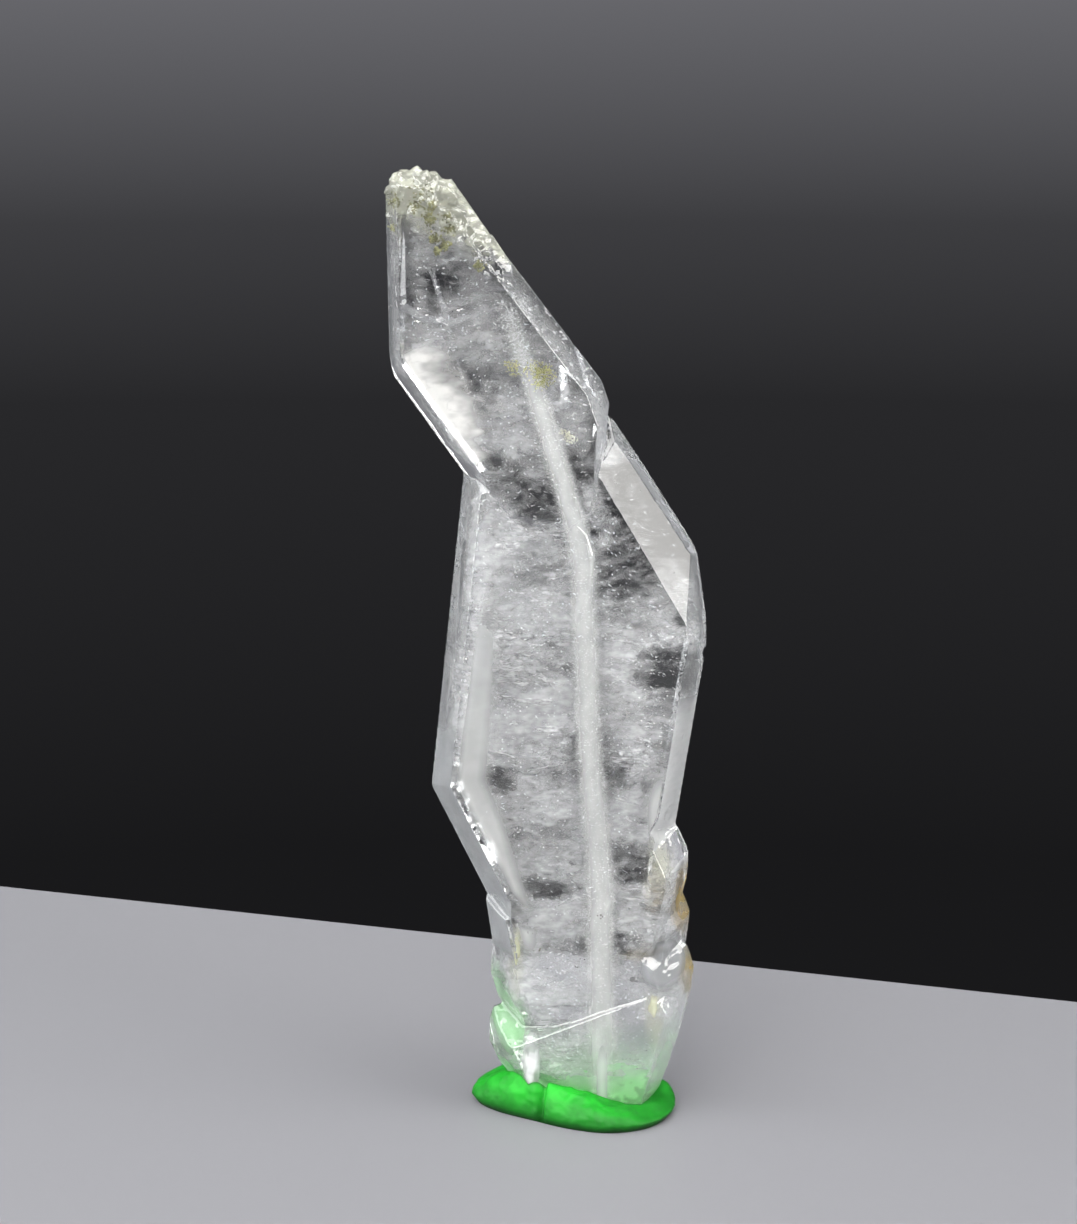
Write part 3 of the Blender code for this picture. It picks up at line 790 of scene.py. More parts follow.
LEVEL_FILMS, STEEP_FILMS = 190, 90
level_films = grow(film_tree, "level_films", film_places(int(LEVEL_FILMS * SHARE), 4), Crystal=bare_crystal,
                   Material=milky_film, Lean=(0.15, 0.16, 0.0), Spread=(0.45, 0.18, 0.5),
                   Length=9 * MM, Width=6 * MM, Seed=4)
steep_films = grow(film_tree, "steep_films", film_places(int(STEEP_FILMS * SHARE), 5), Crystal=bare_crystal,
                   Material=milky_film, Lean=(0.9, 0.2, 0.0), Spread=(0.45, 0.3, 0.6),
                   Length=9 * MM, Width=9 * MM, Wave=0.7 * MM, Seed=5)
SOFT_DEPTHS, SOFT_MIDDLE = (-0.7, 0.6, 1.7), 36.0
soft_places = np.array([(0.0, depth, SOFT_MIDDLE) for depth in SOFT_DEPTHS])
soft_films = grow(film_tree, "soft_films", soft_places, Crystal=bare_crystal, Material=crinkled,
                  Lean=(1.57, 0.0, 0.0), Spread=(0.0, 0.0, 0.0), Length=26 * MM, Width=76 * MM,
                  Columns=60, Rows=160, Shortest=1.0, Longest=1.0, Wave=0.5 * MM, Seed=7)
MILK = (                    # strength, rim left clear in mm, and share left in the upper crystal
    (level_films, 1.0, 1.5, 0.65),
    (steep_films, 0.9, 1.5, 0.65),
    (soft_films, 0.60, 0.9, 0.70),
)
for film, strength, clear_rim, above in MILK:
    milk_on(film, strength, clear_rim, above, wisps=film is soft_films)

# %% [markdown]
# ## Haze
# Between the films float single bubbles. They glint as fine white dots and take the smooth look off the
# veils. Random places are drawn in a box and kept as often as the milk rule says.

# %% Haze
QUARTZ_LOW, QUARTZ_HIGH = (-12.0, -2.9, 1.0), (12.5, 2.9, 72.0)
RIM_LEFT_CLEAR = 0.7        # mm behind the edge faces
HAZE_TRIES = 26000


def haze(points):
    """Fine milk in level streaks."""
    streaks = layered_noise(points, (3.0, 2.0, 0.8), 41)
    return milkiness(points) * np.clip(0.15 + 1.6 * (streaks - 0.30), 0, 1)


def scattered(tries, density, seed):
    """Random points in the quartz, away from its edge faces."""
    points = random_points(QUARTZ_LOW, QUARTZ_HIGH, int(tries * SHARE), density, seed)
    return points[rim_distance(points) > RIM_LEFT_CLEAR]


haze_points = scattered(HAZE_TRIES, haze, 1)
haze_flakes = grow(flake_tree, "milky_haze", haze_points, Crystal=bare_crystal, Material=veil_white,
                   Radius=0.06 * MM, Seed=1)

# %% [markdown]
# ## Needles
# The clear windows are not empty. Short, thin bubble trails cross them as bright scratches. They are
# the same flake drawn out to a needle, at random turns, and their number rises where the milk is thin.

# %% Needles in the clear windows
def window_needles(points):
    """Dense where the quartz is clear."""
    return 0.15 + 0.85 * (1 - milkiness(points))


NEEDLE_TRIES = 9000
needle_points = scattered(NEEDLE_TRIES, window_needles, 8)
needles = grow(flake_tree, "needles", needle_points, Crystal=bare_crystal, Material=veil_white,
               Radius=0.032 * MM, Stretch=5.0, Thickness=0.3, Lean=(0.0, 0.2, 0.0),
               Spread=(3.1, 0.7, 0.7), Margin=0.35 * MM, Seed=8)

# %% [markdown]
# ## The thread
# The faden is what the crystal is named for: a white cord of packed bubbles along its middle, sharp near
# the core and soft at its sides. A solid rod would look like a rope. Four ribbons lie one behind the
# other, each solid in the middle and fading to nothing at its sides, with fine flakes packed round them
# for grain. It bends where the crystal bends and thins out towards the top.

# %% Flakes of the thread
THREAD_LOW, THREAD_TOP = THREAD[-1][1], THREAD[0][1]
THREAD_FLAKES, THREAD_SPREAD = 13000, (0.40, 0.5)   # the spread to the sides and in depth, in mm


def thread_points(count, seed):
    """Points packed round the thread's line, dense in the middle and thin outside."""
    random = np.random.default_rng(seed)
    z = random.uniform(THREAD_LOW, THREAD_TOP, count)
    spread = random.normal(0, 1, (count, 2)) * THREAD_SPREAD
    return np.c_[thread_x(z) + spread[:, 0], THREAD_DEPTH + spread[:, 1], z]


faden = grow(flake_tree, "faden_thread", thread_points(int(THREAD_FLAKES * SHARE), 3),
             Crystal=bare_crystal, Material=thread_white, Radius=0.045 * MM, Margin=0.25 * MM,
             Spread=(0.6, 0.6, 3.1), Seed=3)

# %% Ribbons of the thread
THREAD_RIBBONS = 4
RIBBON_GAP = 0.3                    # mm from one ribbon to the next
RIBBON_HALF_WIDTH = (1.55, 1.05)    # at the bottom and at the top
RIBBON_ROW, RIBBON_COLUMNS = 0.3, 13
RIBBON_SOLID = 0.47                 # how solid a ribbon is in its middle


def ribbon(layer, z, across):
    """One ribbon: its points, and how milky each is. across runs from -1 to 1."""
    depth = THREAD_DEPTH + RIBBON_GAP * (layer - THREAD_RIBBONS / 2)
    half_width = np.interp(z, (THREAD_LOW, THREAD_TOP), RIBBON_HALF_WIDTH)
    edge_run = np.c_[3 * np.sign(across), np.full(len(z), layer), z]
    half_width = half_width * (0.88 + 0.24 * layered_noise(edge_run, (1, 1, 0.9), 57))
    sheet = np.c_[thread_x(z) + half_width * across, np.full(len(z), depth), z]
    sheet[:, 0] += 0.14 * (smooth_noise(sheet, (9, 0.1, 1.6), 51) - 0.5)
    sheet[:, 1] += 0.30 * (smooth_noise(sheet, (1.0, 9, 1.2), 53 + layer) - 0.5)
    lumps = 0.80 + 0.4 * layered_noise(sheet, (0.45, 0.3, 0.8), 61 + layer)
    top = np.clip((THREAD_TOP - z) / 8, 0, 1)
    return sheet, np.clip(1 - across ** 2, 0, 1) ** 2.2 * lumps * top * RIBBON_SOLID


def thread_ribbons():
    """Soft-edged ribbons that lie one behind the other along the thread."""
    rows, columns = np.arange(THREAD_LOW, THREAD_TOP, RIBBON_ROW), np.linspace(-1, 1, RIBBON_COLUMNS)
    z, across = (a.ravel() for a in np.meshgrid(rows, columns, indexing="ij"))
    sheets, milk = zip(*(ribbon(layer, z, across) for layer in range(THREAD_RIBBONS)))
    width = len(columns)
    first = (np.arange(len(rows) - 1)[:, None] * width + np.arange(width - 1)).ravel()
    quads = np.c_[first, first + 1, first + 1 + width, first + width]
    faces = np.vstack([quads + layer * len(z) for layer in range(THREAD_RIBBONS)])
    print(f"thread_ribbons: {len(faces)} faces")
    return smooth_piece("thread_ribbons", np.vstack(sheets), faces.tolist(), np.concatenate(milk),
                        thread_film)


ribbons = thread_ribbons()

# %% [markdown]
# ## Films under the skin
# Stains, frost and tints sit on the crystal's own faces, and so do painted reflection, sparkle, shade
# and glow. Painting them on the glass itself would make it dull, so each is a film of its own. It copies
# a part of the fine skin and lies a few hundredths to a third of a millimetre below it. One array of
# numbers, one for each point of the skin, says where it is and how solid.

# %% Films that follow the skin
THINNEST = 0.02             # faces with less milk than this are left out
skin_x, skin_z = skin_points[:, 0], skin_points[:, 2]
facing = skin_normals[:, 1]
front, flat_side, seen = facing < -0.9, facing < -0.8, facing < -0.2


def skin_film(name, milk, inset, material):
    """A film just under the skin, wherever milk (one number for each point of the fine skin) says so."""
    kept = skin_quads[(milk[skin_quads] > THINNEST).any(axis=1)]
    used, faces = np.unique(kept, return_inverse=True)
    points = skin_points[used] - skin_normals[used] * inset
    print(f"{name}: {len(kept)} faces")
    return smooth_piece(name, points, faces.reshape(-1, 4).tolist(), milk[used], material)


def near(place, reach):
    """1 at a place and 0 a reach away, for each point of the fine skin."""
    away = np.linalg.norm((skin_points - np.array(place)) / np.array(reach), axis=1)
    return np.clip(1 - away, 0, 1)


def spots(places):
    """The sum of several spots, each (place, reach, strength)."""
    return sum(strength * near(place, reach) for place, reach, strength in places)


def specks(size, seed, share):
    """Ragged specks that cover about that share of the skin."""
    return np.clip((layered_noise(skin_points, size, seed) - 1 + share) * 6, 0, 1)


print("points of the skin that face the front:", int(front.sum()))

# %% [markdown]
# ## The bright patch
# The bright patch beside the upper crystal's lower left edge is a painted reflection: a white film
# stands in for a light that the face mirrors there. It begins at a sharp line along the edge and
# breaks up to the right. Its shape is one line with a width at each end and the middle, and noise
# makes the soft side ragged.

# %% The bright patch
PATCH_EDGE = ((-10.75, 58.9), (-6.0, 50.1))     # its sharp left edge, (x, z)
PATCH_WIDTH = (2.9, 4.0, 1.8)                   # at the top, middle and bottom of that edge
PATCH_SOLID, PATCH_INSET = 0.86, 0.12


def bright_patch():
    """A painted reflection near the left edge. It is sharp on the left and fades out to the right."""
    start, end = (np.array(corner) for corner in PATCH_EDGE)
    run = end - start
    along = ((skin_points[:, [0, 2]] - start) @ run) / (run @ run)
    across = past_line(skin_points, PATCH_EDGE)
    width = np.interp(along, (0, 0.55, 1), PATCH_WIDTH)
    ragged = 0.8 * (layered_noise(skin_points, (1.3, 1.0, 0.6), 81) - 0.5)
    fade = np.clip(1.4 * (1.02 - across / width + ragged), 0, 1)
    ends = np.clip((along + 0.02) * 18, 0, 1) * np.clip((1.02 - along) * 14, 0, 1)
    sharp = np.clip(across / 0.12, 0, 1)
    seams = np.abs(layered_noise(skin_points, (1.6, 1.0, 0.7), 82) - 0.5)
    mottled = 0.84 + 0.16 * np.clip(seams / 0.05, 0, 1)
    return front * sharp * fade * ends * mottled


# Painted reflection: a bright white film where the face would mirror a light.
patch = skin_film("bright_patch", PATCH_SOLID * bright_patch(), PATCH_INSET,
                  painted_film("painted_reflection_white", (0.98, 0.97, 0.94)))

# %% [markdown]
# ## Specks on the long upper edge
# The narrow face along the upper crystal's right side is etched, so it sparkles in fine points. The
# sparkle is painted: white specks in a film under the face stand in for the glints. Its faces are found
# by the way they look, and noise at two to three tenths of a millimetre picks the specks.

# %% Specks on the long upper edge
LONG_EDGE_NORMAL = (0.69, -0.5, 0.53)
LONG_EDGE_MATCH, LONG_EDGE_LOW = 0.93, 56       # how well a face has to fit it, and z above which
SPECKS_BETWEEN, SPECKS_SOLID = 0.07, 0.45       # how solid the film is between the specks, and more on them
long_edge = (skin_normals @ np.array(LONG_EDGE_NORMAL) > LONG_EDGE_MATCH) & (skin_z > LONG_EDGE_LOW)
# Painted sparkle: white specks stand in for glints on the etched face.
painted_sparkle = SPECKS_BETWEEN + SPECKS_SOLID * specks((0.3, 0.3, 0.24), 83, 0.42)
edge_specks = skin_film("edge_specks", long_edge * painted_sparkle, 0.04, soft_film)

# %% [markdown]
# ## Frost on the other edge faces
# The other edge faces have faint growth lines and are a little greyer than clear glass. The end face is
# left out, because it is smooth and mirrors the light on the right.

# %% Frost on the other edge faces
END_FACE_NORMAL, END_FACE_MATCH = (0.50, -0.81, 0.31), 0.97
RIGHT_FROST, LEFT_FROST, STREAKS, LOWER_RIGHT_FROST = 0.12, 0.03, 0.10, 0.35
edge_faces = seen & (facing > -FLAT_LIMIT) & ~long_edge
edge_faces &= skin_normals @ np.array(END_FACE_NORMAL) < END_FACE_MATCH
frost_streaks = layered_noise(skin_points, (0.5, 6.0, 0.25), 84)
right_side = skin_normals[:, 0] > 0
lower_right = right_side * np.interp(skin_z, (19, 21, 31, 34), (0, 1, 1, 0))
frost = np.where(right_side, RIGHT_FROST, LEFT_FROST) + STREAKS * frost_streaks
edge_frost = skin_film("edge_frost", edge_faces * (frost + LOWER_RIGHT_FROST * lower_right), 0.03, soft_film)

# %% [markdown]
# ## The band inside the left edge
# A smooth, greyish band follows the left edge from the foot to the middle. It could be part of the
# films, but it has no wisps. So it is a skin film too, placed by its distance from the rim. It is partly
# milk and partly painted shade: its grey dims spots where the lamps would show mirrored in the glass.

# %% The milky band inside the left edge
BAND_INSET = (0.2, 0.9, 1.9, 3.4)    # from the rim: where it starts, is full, starts to thin and ends
BAND_HEIGHT = (12.5, 15.0, 28.0, 37.0, 47.0)
BAND_STRENGTH = (0, 0.92, 0.85, 0.42, 0)
BAND_RIGHT = ((12, 27, 46), (0.3, -3.8, -2.4))      # z, and the x that it stays left of there
SHOULDER = (((8.4, -2.4, 24.4), (1.3, 1.5, 3.4), 1.8),)     # one more spot, on the right shoulder
across_band = np.interp(skin_z, *BAND_RIGHT) - skin_x
band = np.interp(rim_distance(skin_points), BAND_INSET, (0, 1, 1, 0)) * np.clip(across_band / 1.2, 0, 1)
band *= np.interp(skin_z, BAND_HEIGHT, BAND_STRENGTH)
band = np.maximum(band, np.clip(spots(SHOULDER), 0, 0.85)) * flat_side
band_patches = 0.85 + 0.3 * layered_noise(skin_points, (1.2, 1.0, 0.8), 88)
# Partly milk, partly painted shade: the grey film dims the lamps' mirrored spots.
edge_band = skin_film("edge_band", np.clip(band * band_patches, 0, 0.97), 0.35,
                      painted_film("band_grey_milk_and_shade", (0.58, 0.59, 0.58)))

# %% [markdown]
# ## Painted shade on edge faces
# On the lower left edge faces and one facet of the foot, clear glass would mirror the lights as hard
# white spots. A dark grey film lies under them as painted shade.

# %% Painted shade on edge faces
SHADE_HEIGHT, SHADE_STRENGTH = (12.0, 14.0, 29.0, 33.0), (0, 0.9, 0.8, 0)
SHADED_FACET = (((8.9, -1.9, 12.2), (2.6, 3.0, 2.4), 2.2),)
low_edge = edge_faces & ~right_side & (skin_x < 0)
# Painted shade: how strongly the dark grey film covers each point.
edge_shade = np.interp(skin_z, SHADE_HEIGHT, SHADE_STRENGTH) * low_edge
edge_shade *= 0.70 + 0.5 * layered_noise(skin_points, (0.9, 1.0, 1.4), 92)
edge_shade = np.maximum(edge_shade, np.clip(spots(SHADED_FACET), 0, 0.9) * seen)
dull_edge = skin_film("dull_edge", np.clip(edge_shade, 0, 0.95), 0.05,
                      painted_film("painted_shade_grey", (0.36, 0.37, 0.38)))

# %% [markdown]
# ## Stains and tints
# Iron water left ochre on the lower right edge, clay left cream spots, and the tip has a khaki crust.
# Each is a film with its own colour, placed by how near the skin is to a few named spots.

# %% Stains
IRON_SPOTS = (              # place, reach and strength, here and below
    ((10.6, -0.6, 17.0), (1.6, 3.0, 3.4), 1.0),
    ((8.0, -1.8, 18.2), (1.0, 2.0, 2.2), 0.3),
    ((7.0, -2.3, 13.2), (1.8, 2.0, 0.7), 0.3),
    ((10.9, -0.5, 11.0), (1.0, 2.5, 2.5), 0.5),
)
CREAM_SPOTS = (
    ((8.3, -2.0, 20.0), (1.6, 2.0, 3.8), 0.4),
    ((8.0, -2.2, 8.8), (0.9, 2.0, 3.8), 1.1),
    ((-2.6, -2.4, 12.5), (0.7, 2.0, 3.6), 0.9),
)
iron = np.clip(1.6 * spots(IRON_SPOTS), 0, 1) * (0.65 + 0.35 * specks((0.7, 0.7, 0.9), 85, 0.6))
iron_stain = skin_film("iron_stain", 0.85 * iron, 0.02, painted_film("iron_stain", (0.40, 0.27, 0.04)))
cream = spots(CREAM_SPOTS) * (0.40 + 0.60 * specks((0.8, 0.8, 1.8), 94, 0.5))
cream_stain = skin_film("cream_stain", np.clip(cream, 0, 0.65), 0.05,
                        painted_film("cream_stain", (0.80, 0.80, 0.48)))
khaki = np.clip((above_crust_line(skin_points) + 0.3) / 1.6, 0, 1)
khaki *= 0.55 + 0.45 * specks((0.5, 0.5, 0.45), 87, 0.5)
khaki_crust = skin_film("khaki_crust", 0.85 * khaki, 0.02,
                        painted_film("khaki_crust", (0.60, 0.605, 0.50)))

# %% [markdown]
# ## White and green in the foot
# A broken corner and the thread's lower end are white behind the foot's front face. The putty shines
# green through the foot, strongest just above the pad and on a few facets that turn towards it. Light
# that crosses so much quartz is hard to steer, so a green film carries part of the glow as painted light.

# %% White patches and painted green glow in the foot
FOOT_CORNER = (((-1.4, -2.9, 4.6), (0.8, 1.5, 3.0), 1.8),)
THREAD_END_X, THREAD_END_HALF_WIDTH = 4.05, 0.55
GREEN_GLOW_FACETS = (
    ((-4.3, -0.8, 9.0), (1.6, 3.0, 3.4), 1.3),
    ((9.2, -1.5, 5.0), (1.6, 3.0, 4.0), 0.5),
    ((-3.0, -2.0, 7.3), (1.8, 2.5, 3.0), 1.4),
)
GLOW_HEIGHT, GLOW_STRENGTH = (2.4, 3.4, 4.6, 6.6), (0.80, 0.55, 0.24, 0.0)
corner_white = spots(FOOT_CORNER) * (0.4 + 0.6 * specks((0.5, 0.5, 1.6), 89, 0.6))
thread_end = np.exp(-((skin_x - THREAD_END_X) / THREAD_END_HALF_WIDTH) ** 2)
thread_end *= np.interp(skin_z, (4.5, 8.0), (0.45, 0.0)) * flat_side
foot_patch = skin_film("foot_patch", np.clip(np.maximum(corner_white, thread_end), 0, 0.9), 0.08, soft_film)
# Painted light: the putty's green glow, painted on a film in the foot.
green_glow = np.clip((8.5 - skin_z) / 6.0, 0, 1) ** 1.5 * seen
green_glow *= 0.6 + 0.4 * layered_noise(skin_points, (2.0, 2.0, 1.6), 90)
green_glow += spots(GREEN_GLOW_FACETS)
ragged_height = skin_z + 3.2 * (layered_noise(skin_points, (2.2, 1.0, 1.1), 95) - 0.5)
glow = np.interp(ragged_height, GLOW_HEIGHT, GLOW_STRENGTH)
glow *= seen * (0.55 + 0.45 * specks((0.7, 1.0, 0.45), 96, 0.6))
green_foot = skin_film("green_foot", np.clip(np.maximum(0.60 * green_glow, glow), 0, 0.80), 0.10,
                       painted_film("painted_green_glow", (0.36, 0.80, 0.35)))
skin_films = [patch, edge_specks, edge_frost, edge_band, dull_edge, green_foot, iron_stain,
              cream_stain, khaki_crust, foot_patch]

# %% [markdown]
# ## Grains
# Green chlorite, khaki crust, cream crumbs and black specks are real grains, so they are small angular
# solids. A tree puts a rough ball on each point, and stretches and turns each one at random.

# %% Grains
def make_grain_tree():
    """An angular grain on each point, turned and sized at random."""
    tree, given = new_group("grains", [("Geometry", "Geometry"), ("Material", "Material"),
                                       ("Radius", "Float", 0.1 * MM), ("Seed", "Int")])
    cloud = add(tree, "GeometryNodeMeshToPoints", {"Mesh": given["Geometry"]})
    ball = add(tree, "GeometryNodeMeshIcoSphere", {"Radius": given["Radius"], "Subdivisions": 1})
    turn = random_turn(tree, (0.0, 0.0, 0.0), (3.1, 3.1, 3.1), given["Seed"])
    longer = add(tree, "FunctionNodeRandomValue", {0: (0.4, 0.4, 0.4), 1: (1.5, 1.2, 1.2),
                                                   "Seed": given["Seed"]}, data_type="FLOAT_VECTOR")
    put = add(tree, "GeometryNodeInstanceOnPoints", {"Points": cloud.outputs[0], "Scale": longer.outputs[0],
                                                     "Instance": ball.outputs[0], "Rotation": turn})
    real = add(tree, "GeometryNodeRealizeInstances", {"Geometry": put.outputs[0]})
    return end_tree(tree, real, given["Material"])


grain_tree = make_grain_tree()


def grain_material(name, dark, light):
    material, tree, shader = new_material(name, 0.7)
    noise_tint(tree, shader, 0.6, dark, light)
    return material


# %% [markdown]
# ## Where the grains sit
# Each heap is named by its place in the front view, its reach and its number of grains. A ray from the
# front finds the skin there. The chlorite and the cream crumbs lie just inside the quartz, the crust
# sits on it.

# %% Heaps of grains
IN_FRONT = -20.0            # y, well in front of the crystal
SKIN_TREE = BVHTree.FromPolygons([v.co for v in bare_crystal.data.vertices],
                                 [tuple(p.vertices) for p in bare_crystal.data.polygons])


def on_front(x, z, inset):
    """The place on the crystal's front at that x and z, or None where there is none."""
    hit = SKIN_TREE.ray_cast(Vector((x, IN_FRONT, z)) * MM, Vector((0.0, 1.0, 0.0)))[0]
    return None if hit is None else (x, hit.y / MM + inset, z)


def clusters(places, seed, inset):
    """Points heaped on the front in clusters, each (x, z, reach, count)."""
    random = np.random.default_rng(seed)
    found = []
    for x, z, reach, count in places:
        for across, up, deep in random.normal(0, 0.5, (count, 3)) * (reach, reach, 0.3 * reach):
            found.append(on_front(x + across, z + up, inset + abs(deep)))
    return np.array([place for place in found if place])


print("the front lies at y =", round(on_front(0.0, 36.0, 0.0)[1], 2), "mm in the middle")


# %% Where each heap sits
# Each heap: x, z, reach, number of grains.
CHLORITE = (
    (-2.6, 58.0, 0.55, 60), (-3.0, 58.4, 0.35, 20), (-0.9, 57.9, 0.65, 80), (-0.5, 57.3, 0.72, 150),
    (-0.2, 57.9, 0.40, 60), (-0.8, 56.9, 0.35, 40), (-1.6, 57.9, 0.7, 30),
)
CRUST = (
    (-9.6, 69.6, 0.5, 60), (-8.5, 69.5, 0.5, 70), (-8.6, 68.6, 0.45, 60), (-8.2, 67.3, 0.4, 70),
    (-7.5, 66.8, 0.4, 60), (-7.4, 68.8, 0.3, 30), (-7.1, 68.0, 0.4, 45), (-8.1, 66.4, 0.3, 40),
    (-5.1, 65.4, 0.4, 40), (-9.0, 70.4, 0.7, 60), (-11.0, 69.9, 0.5, 50), (-11.3, 68.0, 0.3, 20),
)
CREAM = ((1.3, 53.1, 0.35, 50), (1.7, 52.8, 0.2, 16), (0.9, 53.4, 0.2, 10))
BLACK = (
    (-1.4, 14.2, 0.5, 5), (-0.8, 13.6, 0.4, 4), (3.9, 16.2, 0.3, 4), (-1.9, 15.3, 0.6, 4),
    (2.6, 12.6, 0.8, 4), (0.6, 17.2, 0.8, 3),
)
print("heaps:", sum(map(len, (CHLORITE, CRUST, CREAM, BLACK))))

# %% Grow the grains
GRAINS = (                  # piece, clusters, inset, material, its dark and light colour, radius, seed
    ("chlorite", CHLORITE, 0.15, "chlorite_green", (0.34, 0.34, 0.10), (0.60, 0.58, 0.26), 0.058, 11),
    ("crust", CRUST, 0.0, "crust_khaki", (0.05, 0.05, 0.02), (0.20, 0.20, 0.10), 0.10, 12),
    ("cream_grains", CREAM, 0.15, "cream_white", (0.70, 0.70, 0.55), (0.85, 0.85, 0.75), 0.08, 13),
    ("black_specks", BLACK, 0.3, "speck_black", (0.02, 0.02, 0.015), (0.06, 0.05, 0.03), 0.07, 14),
)
grains = [grow(grain_tree, name, clusters(places, seed, inset), Radius=radius * MM, Seed=seed,
               Material=grain_material(finish, dark, light))
          for name, places, inset, finish, dark, light, radius, seed in GRAINS]

# %% [markdown]
# ## Cracks in the foot
# Where the foot was broken from the rock, a few single cracks cross it. They are the same film as
# before, one at a time, with a named place and lean.

# %% Cracks in the foot
CRACKS = (                  # middle (x, y, z), and how it leans
    ((3.0, -1.0, 11.3), (0.35, -0.50, 0.0)),
    ((5.2, -0.6, 12.6), (0.30, -0.75, 0.1)),
    ((1.4, -1.2, 9.9), (0.30, -0.15, 0.0)),
    ((8.6, -0.8, 11.0), (0.50, 1.10, 0.2)),
)
CRACK_STRENGTH, CRACK_CLEAR_RIM = 0.32, 0.6
cracks = []
for number, (middle, lean) in enumerate(CRACKS):
    crack = grow(film_tree, f"crack_{number}", np.array([middle]), Crystal=bare_crystal, Material=soft_film,
                 Lean=lean, Spread=(0.05, 0.05, 0.05), Length=8 * MM, Width=3 * MM, Wave=0.3 * MM,
                 Columns=60, Rows=24, Shortest=0.8, Longest=1.0, Seed=number)
    milk_on(crack, CRACK_STRENGTH, CRACK_CLEAR_RIM)
    cracks.append(crack)

# %% [markdown]
# ## The putty
# The pad was kneaded between fingers and pressed down, so its edge is full and round, its top has
# thumb marks, and a fold runs down its front. It is a stack of rings round a middle point, like the
# solid, with many more points. It has no socket here: the putty touches the quartz all round.

# %% Sizes of the putty
PUTTY_MIDDLE = np.array((2.2, -0.1))
PUTTY_OUTLINE = np.array((
    (-6.2, 0.7), (-4.7, -1.5), (-1.6, -3.5), (1.4, -5.2), (4.6, -6.05), (7.7, -5.2), (9.6, -2.7),
    (9.9, 0.6), (8.6, 3.3), (5.5, 5.1), (1.5, 6.0), (-2.5, 5.2), (-5.3, 3.2)))
PUTTY_STEPS = 24            # points between two corners of the outline
PUTTY_RINGS = 60
PUTTY_SKIRT = 0.55          # height of the widest line
PUTTY_SOLE = 0.94           # share of the outline that the flat underside takes
THUMB_MARKS = (             # x, y, rise or dent, reach
    (-5.4, 1.2, -1.5, 2.0), (9.2, 0.9, 1.25, 1.3), (-2.2, -2.6, 1.15, 1.7), (4.6, -4.4, -0.25, 1.6),
    (1.2, 4.6, -0.45, 2.0), (6.6, 3.6, 0.40, 1.9))
SMALL_MARKS = (
    (-3.6, -1.8, -0.22, 0.7), (7.9, -3.6, -0.18, 0.8), (2.6, -4.2, 0.14, 0.8), (6.0, -4.9, 0.12, 0.7))
CREASE_X, CREASE_Y, CREASE_LEAN = -0.9, -4.2, 0.25
CREASE_HALF_WIDTH, CREASE_DEPTH = 0.40, 0.60
PUTTY_PEAK = (-6.2, -2.9, 5.3)      # the pad is highest at this x and y
PUTTY_FALL = (0.33, 0.22)           # mm lower for each mm to the right and to the back
PUTTY_LOWEST = 1.25
print("putty:", np.ptp(PUTTY_OUTLINE, axis=0), "mm across")


# %% Rings of the putty
def smooth_loop(corners, steps):
    """A closed curve through the corners (Catmull-Rom)."""
    before, after, last = np.roll(corners, 1, 0), np.roll(corners, -1, 0), np.roll(corners, -2, 0)
    t = np.arange(steps)[None, :, None] / steps
    bend = (2 * before - 5 * corners + 4 * after - last)[:, None]
    twist = (3 * corners - before - 3 * after + last)[:, None]
    curve = 2 * corners[:, None] + (after - before)[:, None] * t + bend * t ** 2 + twist * t ** 3
    return 0.5 * curve.reshape(-1, 2)


def past_crease(x, y):
    """How far right of the crease's middle line a place is."""
    return x - CREASE_X - CREASE_LEAN * (y - CREASE_Y)


def putty_height(x, y):
    height = PUTTY_PEAK[2] - PUTTY_FALL[0] * (x - PUTTY_PEAK[0]) - PUTTY_FALL[1] * (y - PUTTY_PEAK[1])
    height = np.maximum(height, PUTTY_LOWEST)
    for mark_x, mark_y, lift, reach in THUMB_MARKS + SMALL_MARKS:
        height += lift * np.exp(-((x - mark_x) ** 2 + (y - mark_y) ** 2) / reach ** 2)
    across = past_crease(x, y) / CREASE_HALF_WIDTH
    return height - CREASE_DEPTH * np.exp(-across ** 2 - (y - CREASE_Y) ** 2)


def putty_points():
    outline = PUTTY_MIDDLE + 0.995 * (smooth_loop(PUTTY_OUTLINE, PUTTY_STEPS) - PUTTY_MIDDLE)
    rings = [np.c_[PUTTY_MIDDLE + (outline - PUTTY_MIDDLE) * share, np.zeros(len(outline))]
             for share in (0.5 * PUTTY_SOLE, PUTTY_SOLE)]
    for step in range(PUTTY_RINGS):
        share = (step / PUTTY_RINGS) ** 1.7
        spot = PUTTY_MIDDLE + (outline - PUTTY_MIDDLE) * (1 - share)
        lift = np.maximum(putty_height(spot[:, 0], spot[:, 1]) - PUTTY_SKIRT, 0.2)
        rings.append(np.c_[spot, PUTTY_SKIRT + lift * math.sqrt(1 - (1 - share) ** 3)])
    return np.vstack(rings), len(outline)


print("putty: up to", putty_points()[0][:, 2].max().round(1), "mm high")


# %% Knead the putty
LUMP, SKIN_GRAIN = 0.45, 0.16       # mm, how far kneading and the putty's fine skin push the surface
FOLD_HALF_WIDTH, FOLD_DEPTH = 0.28, 0.55


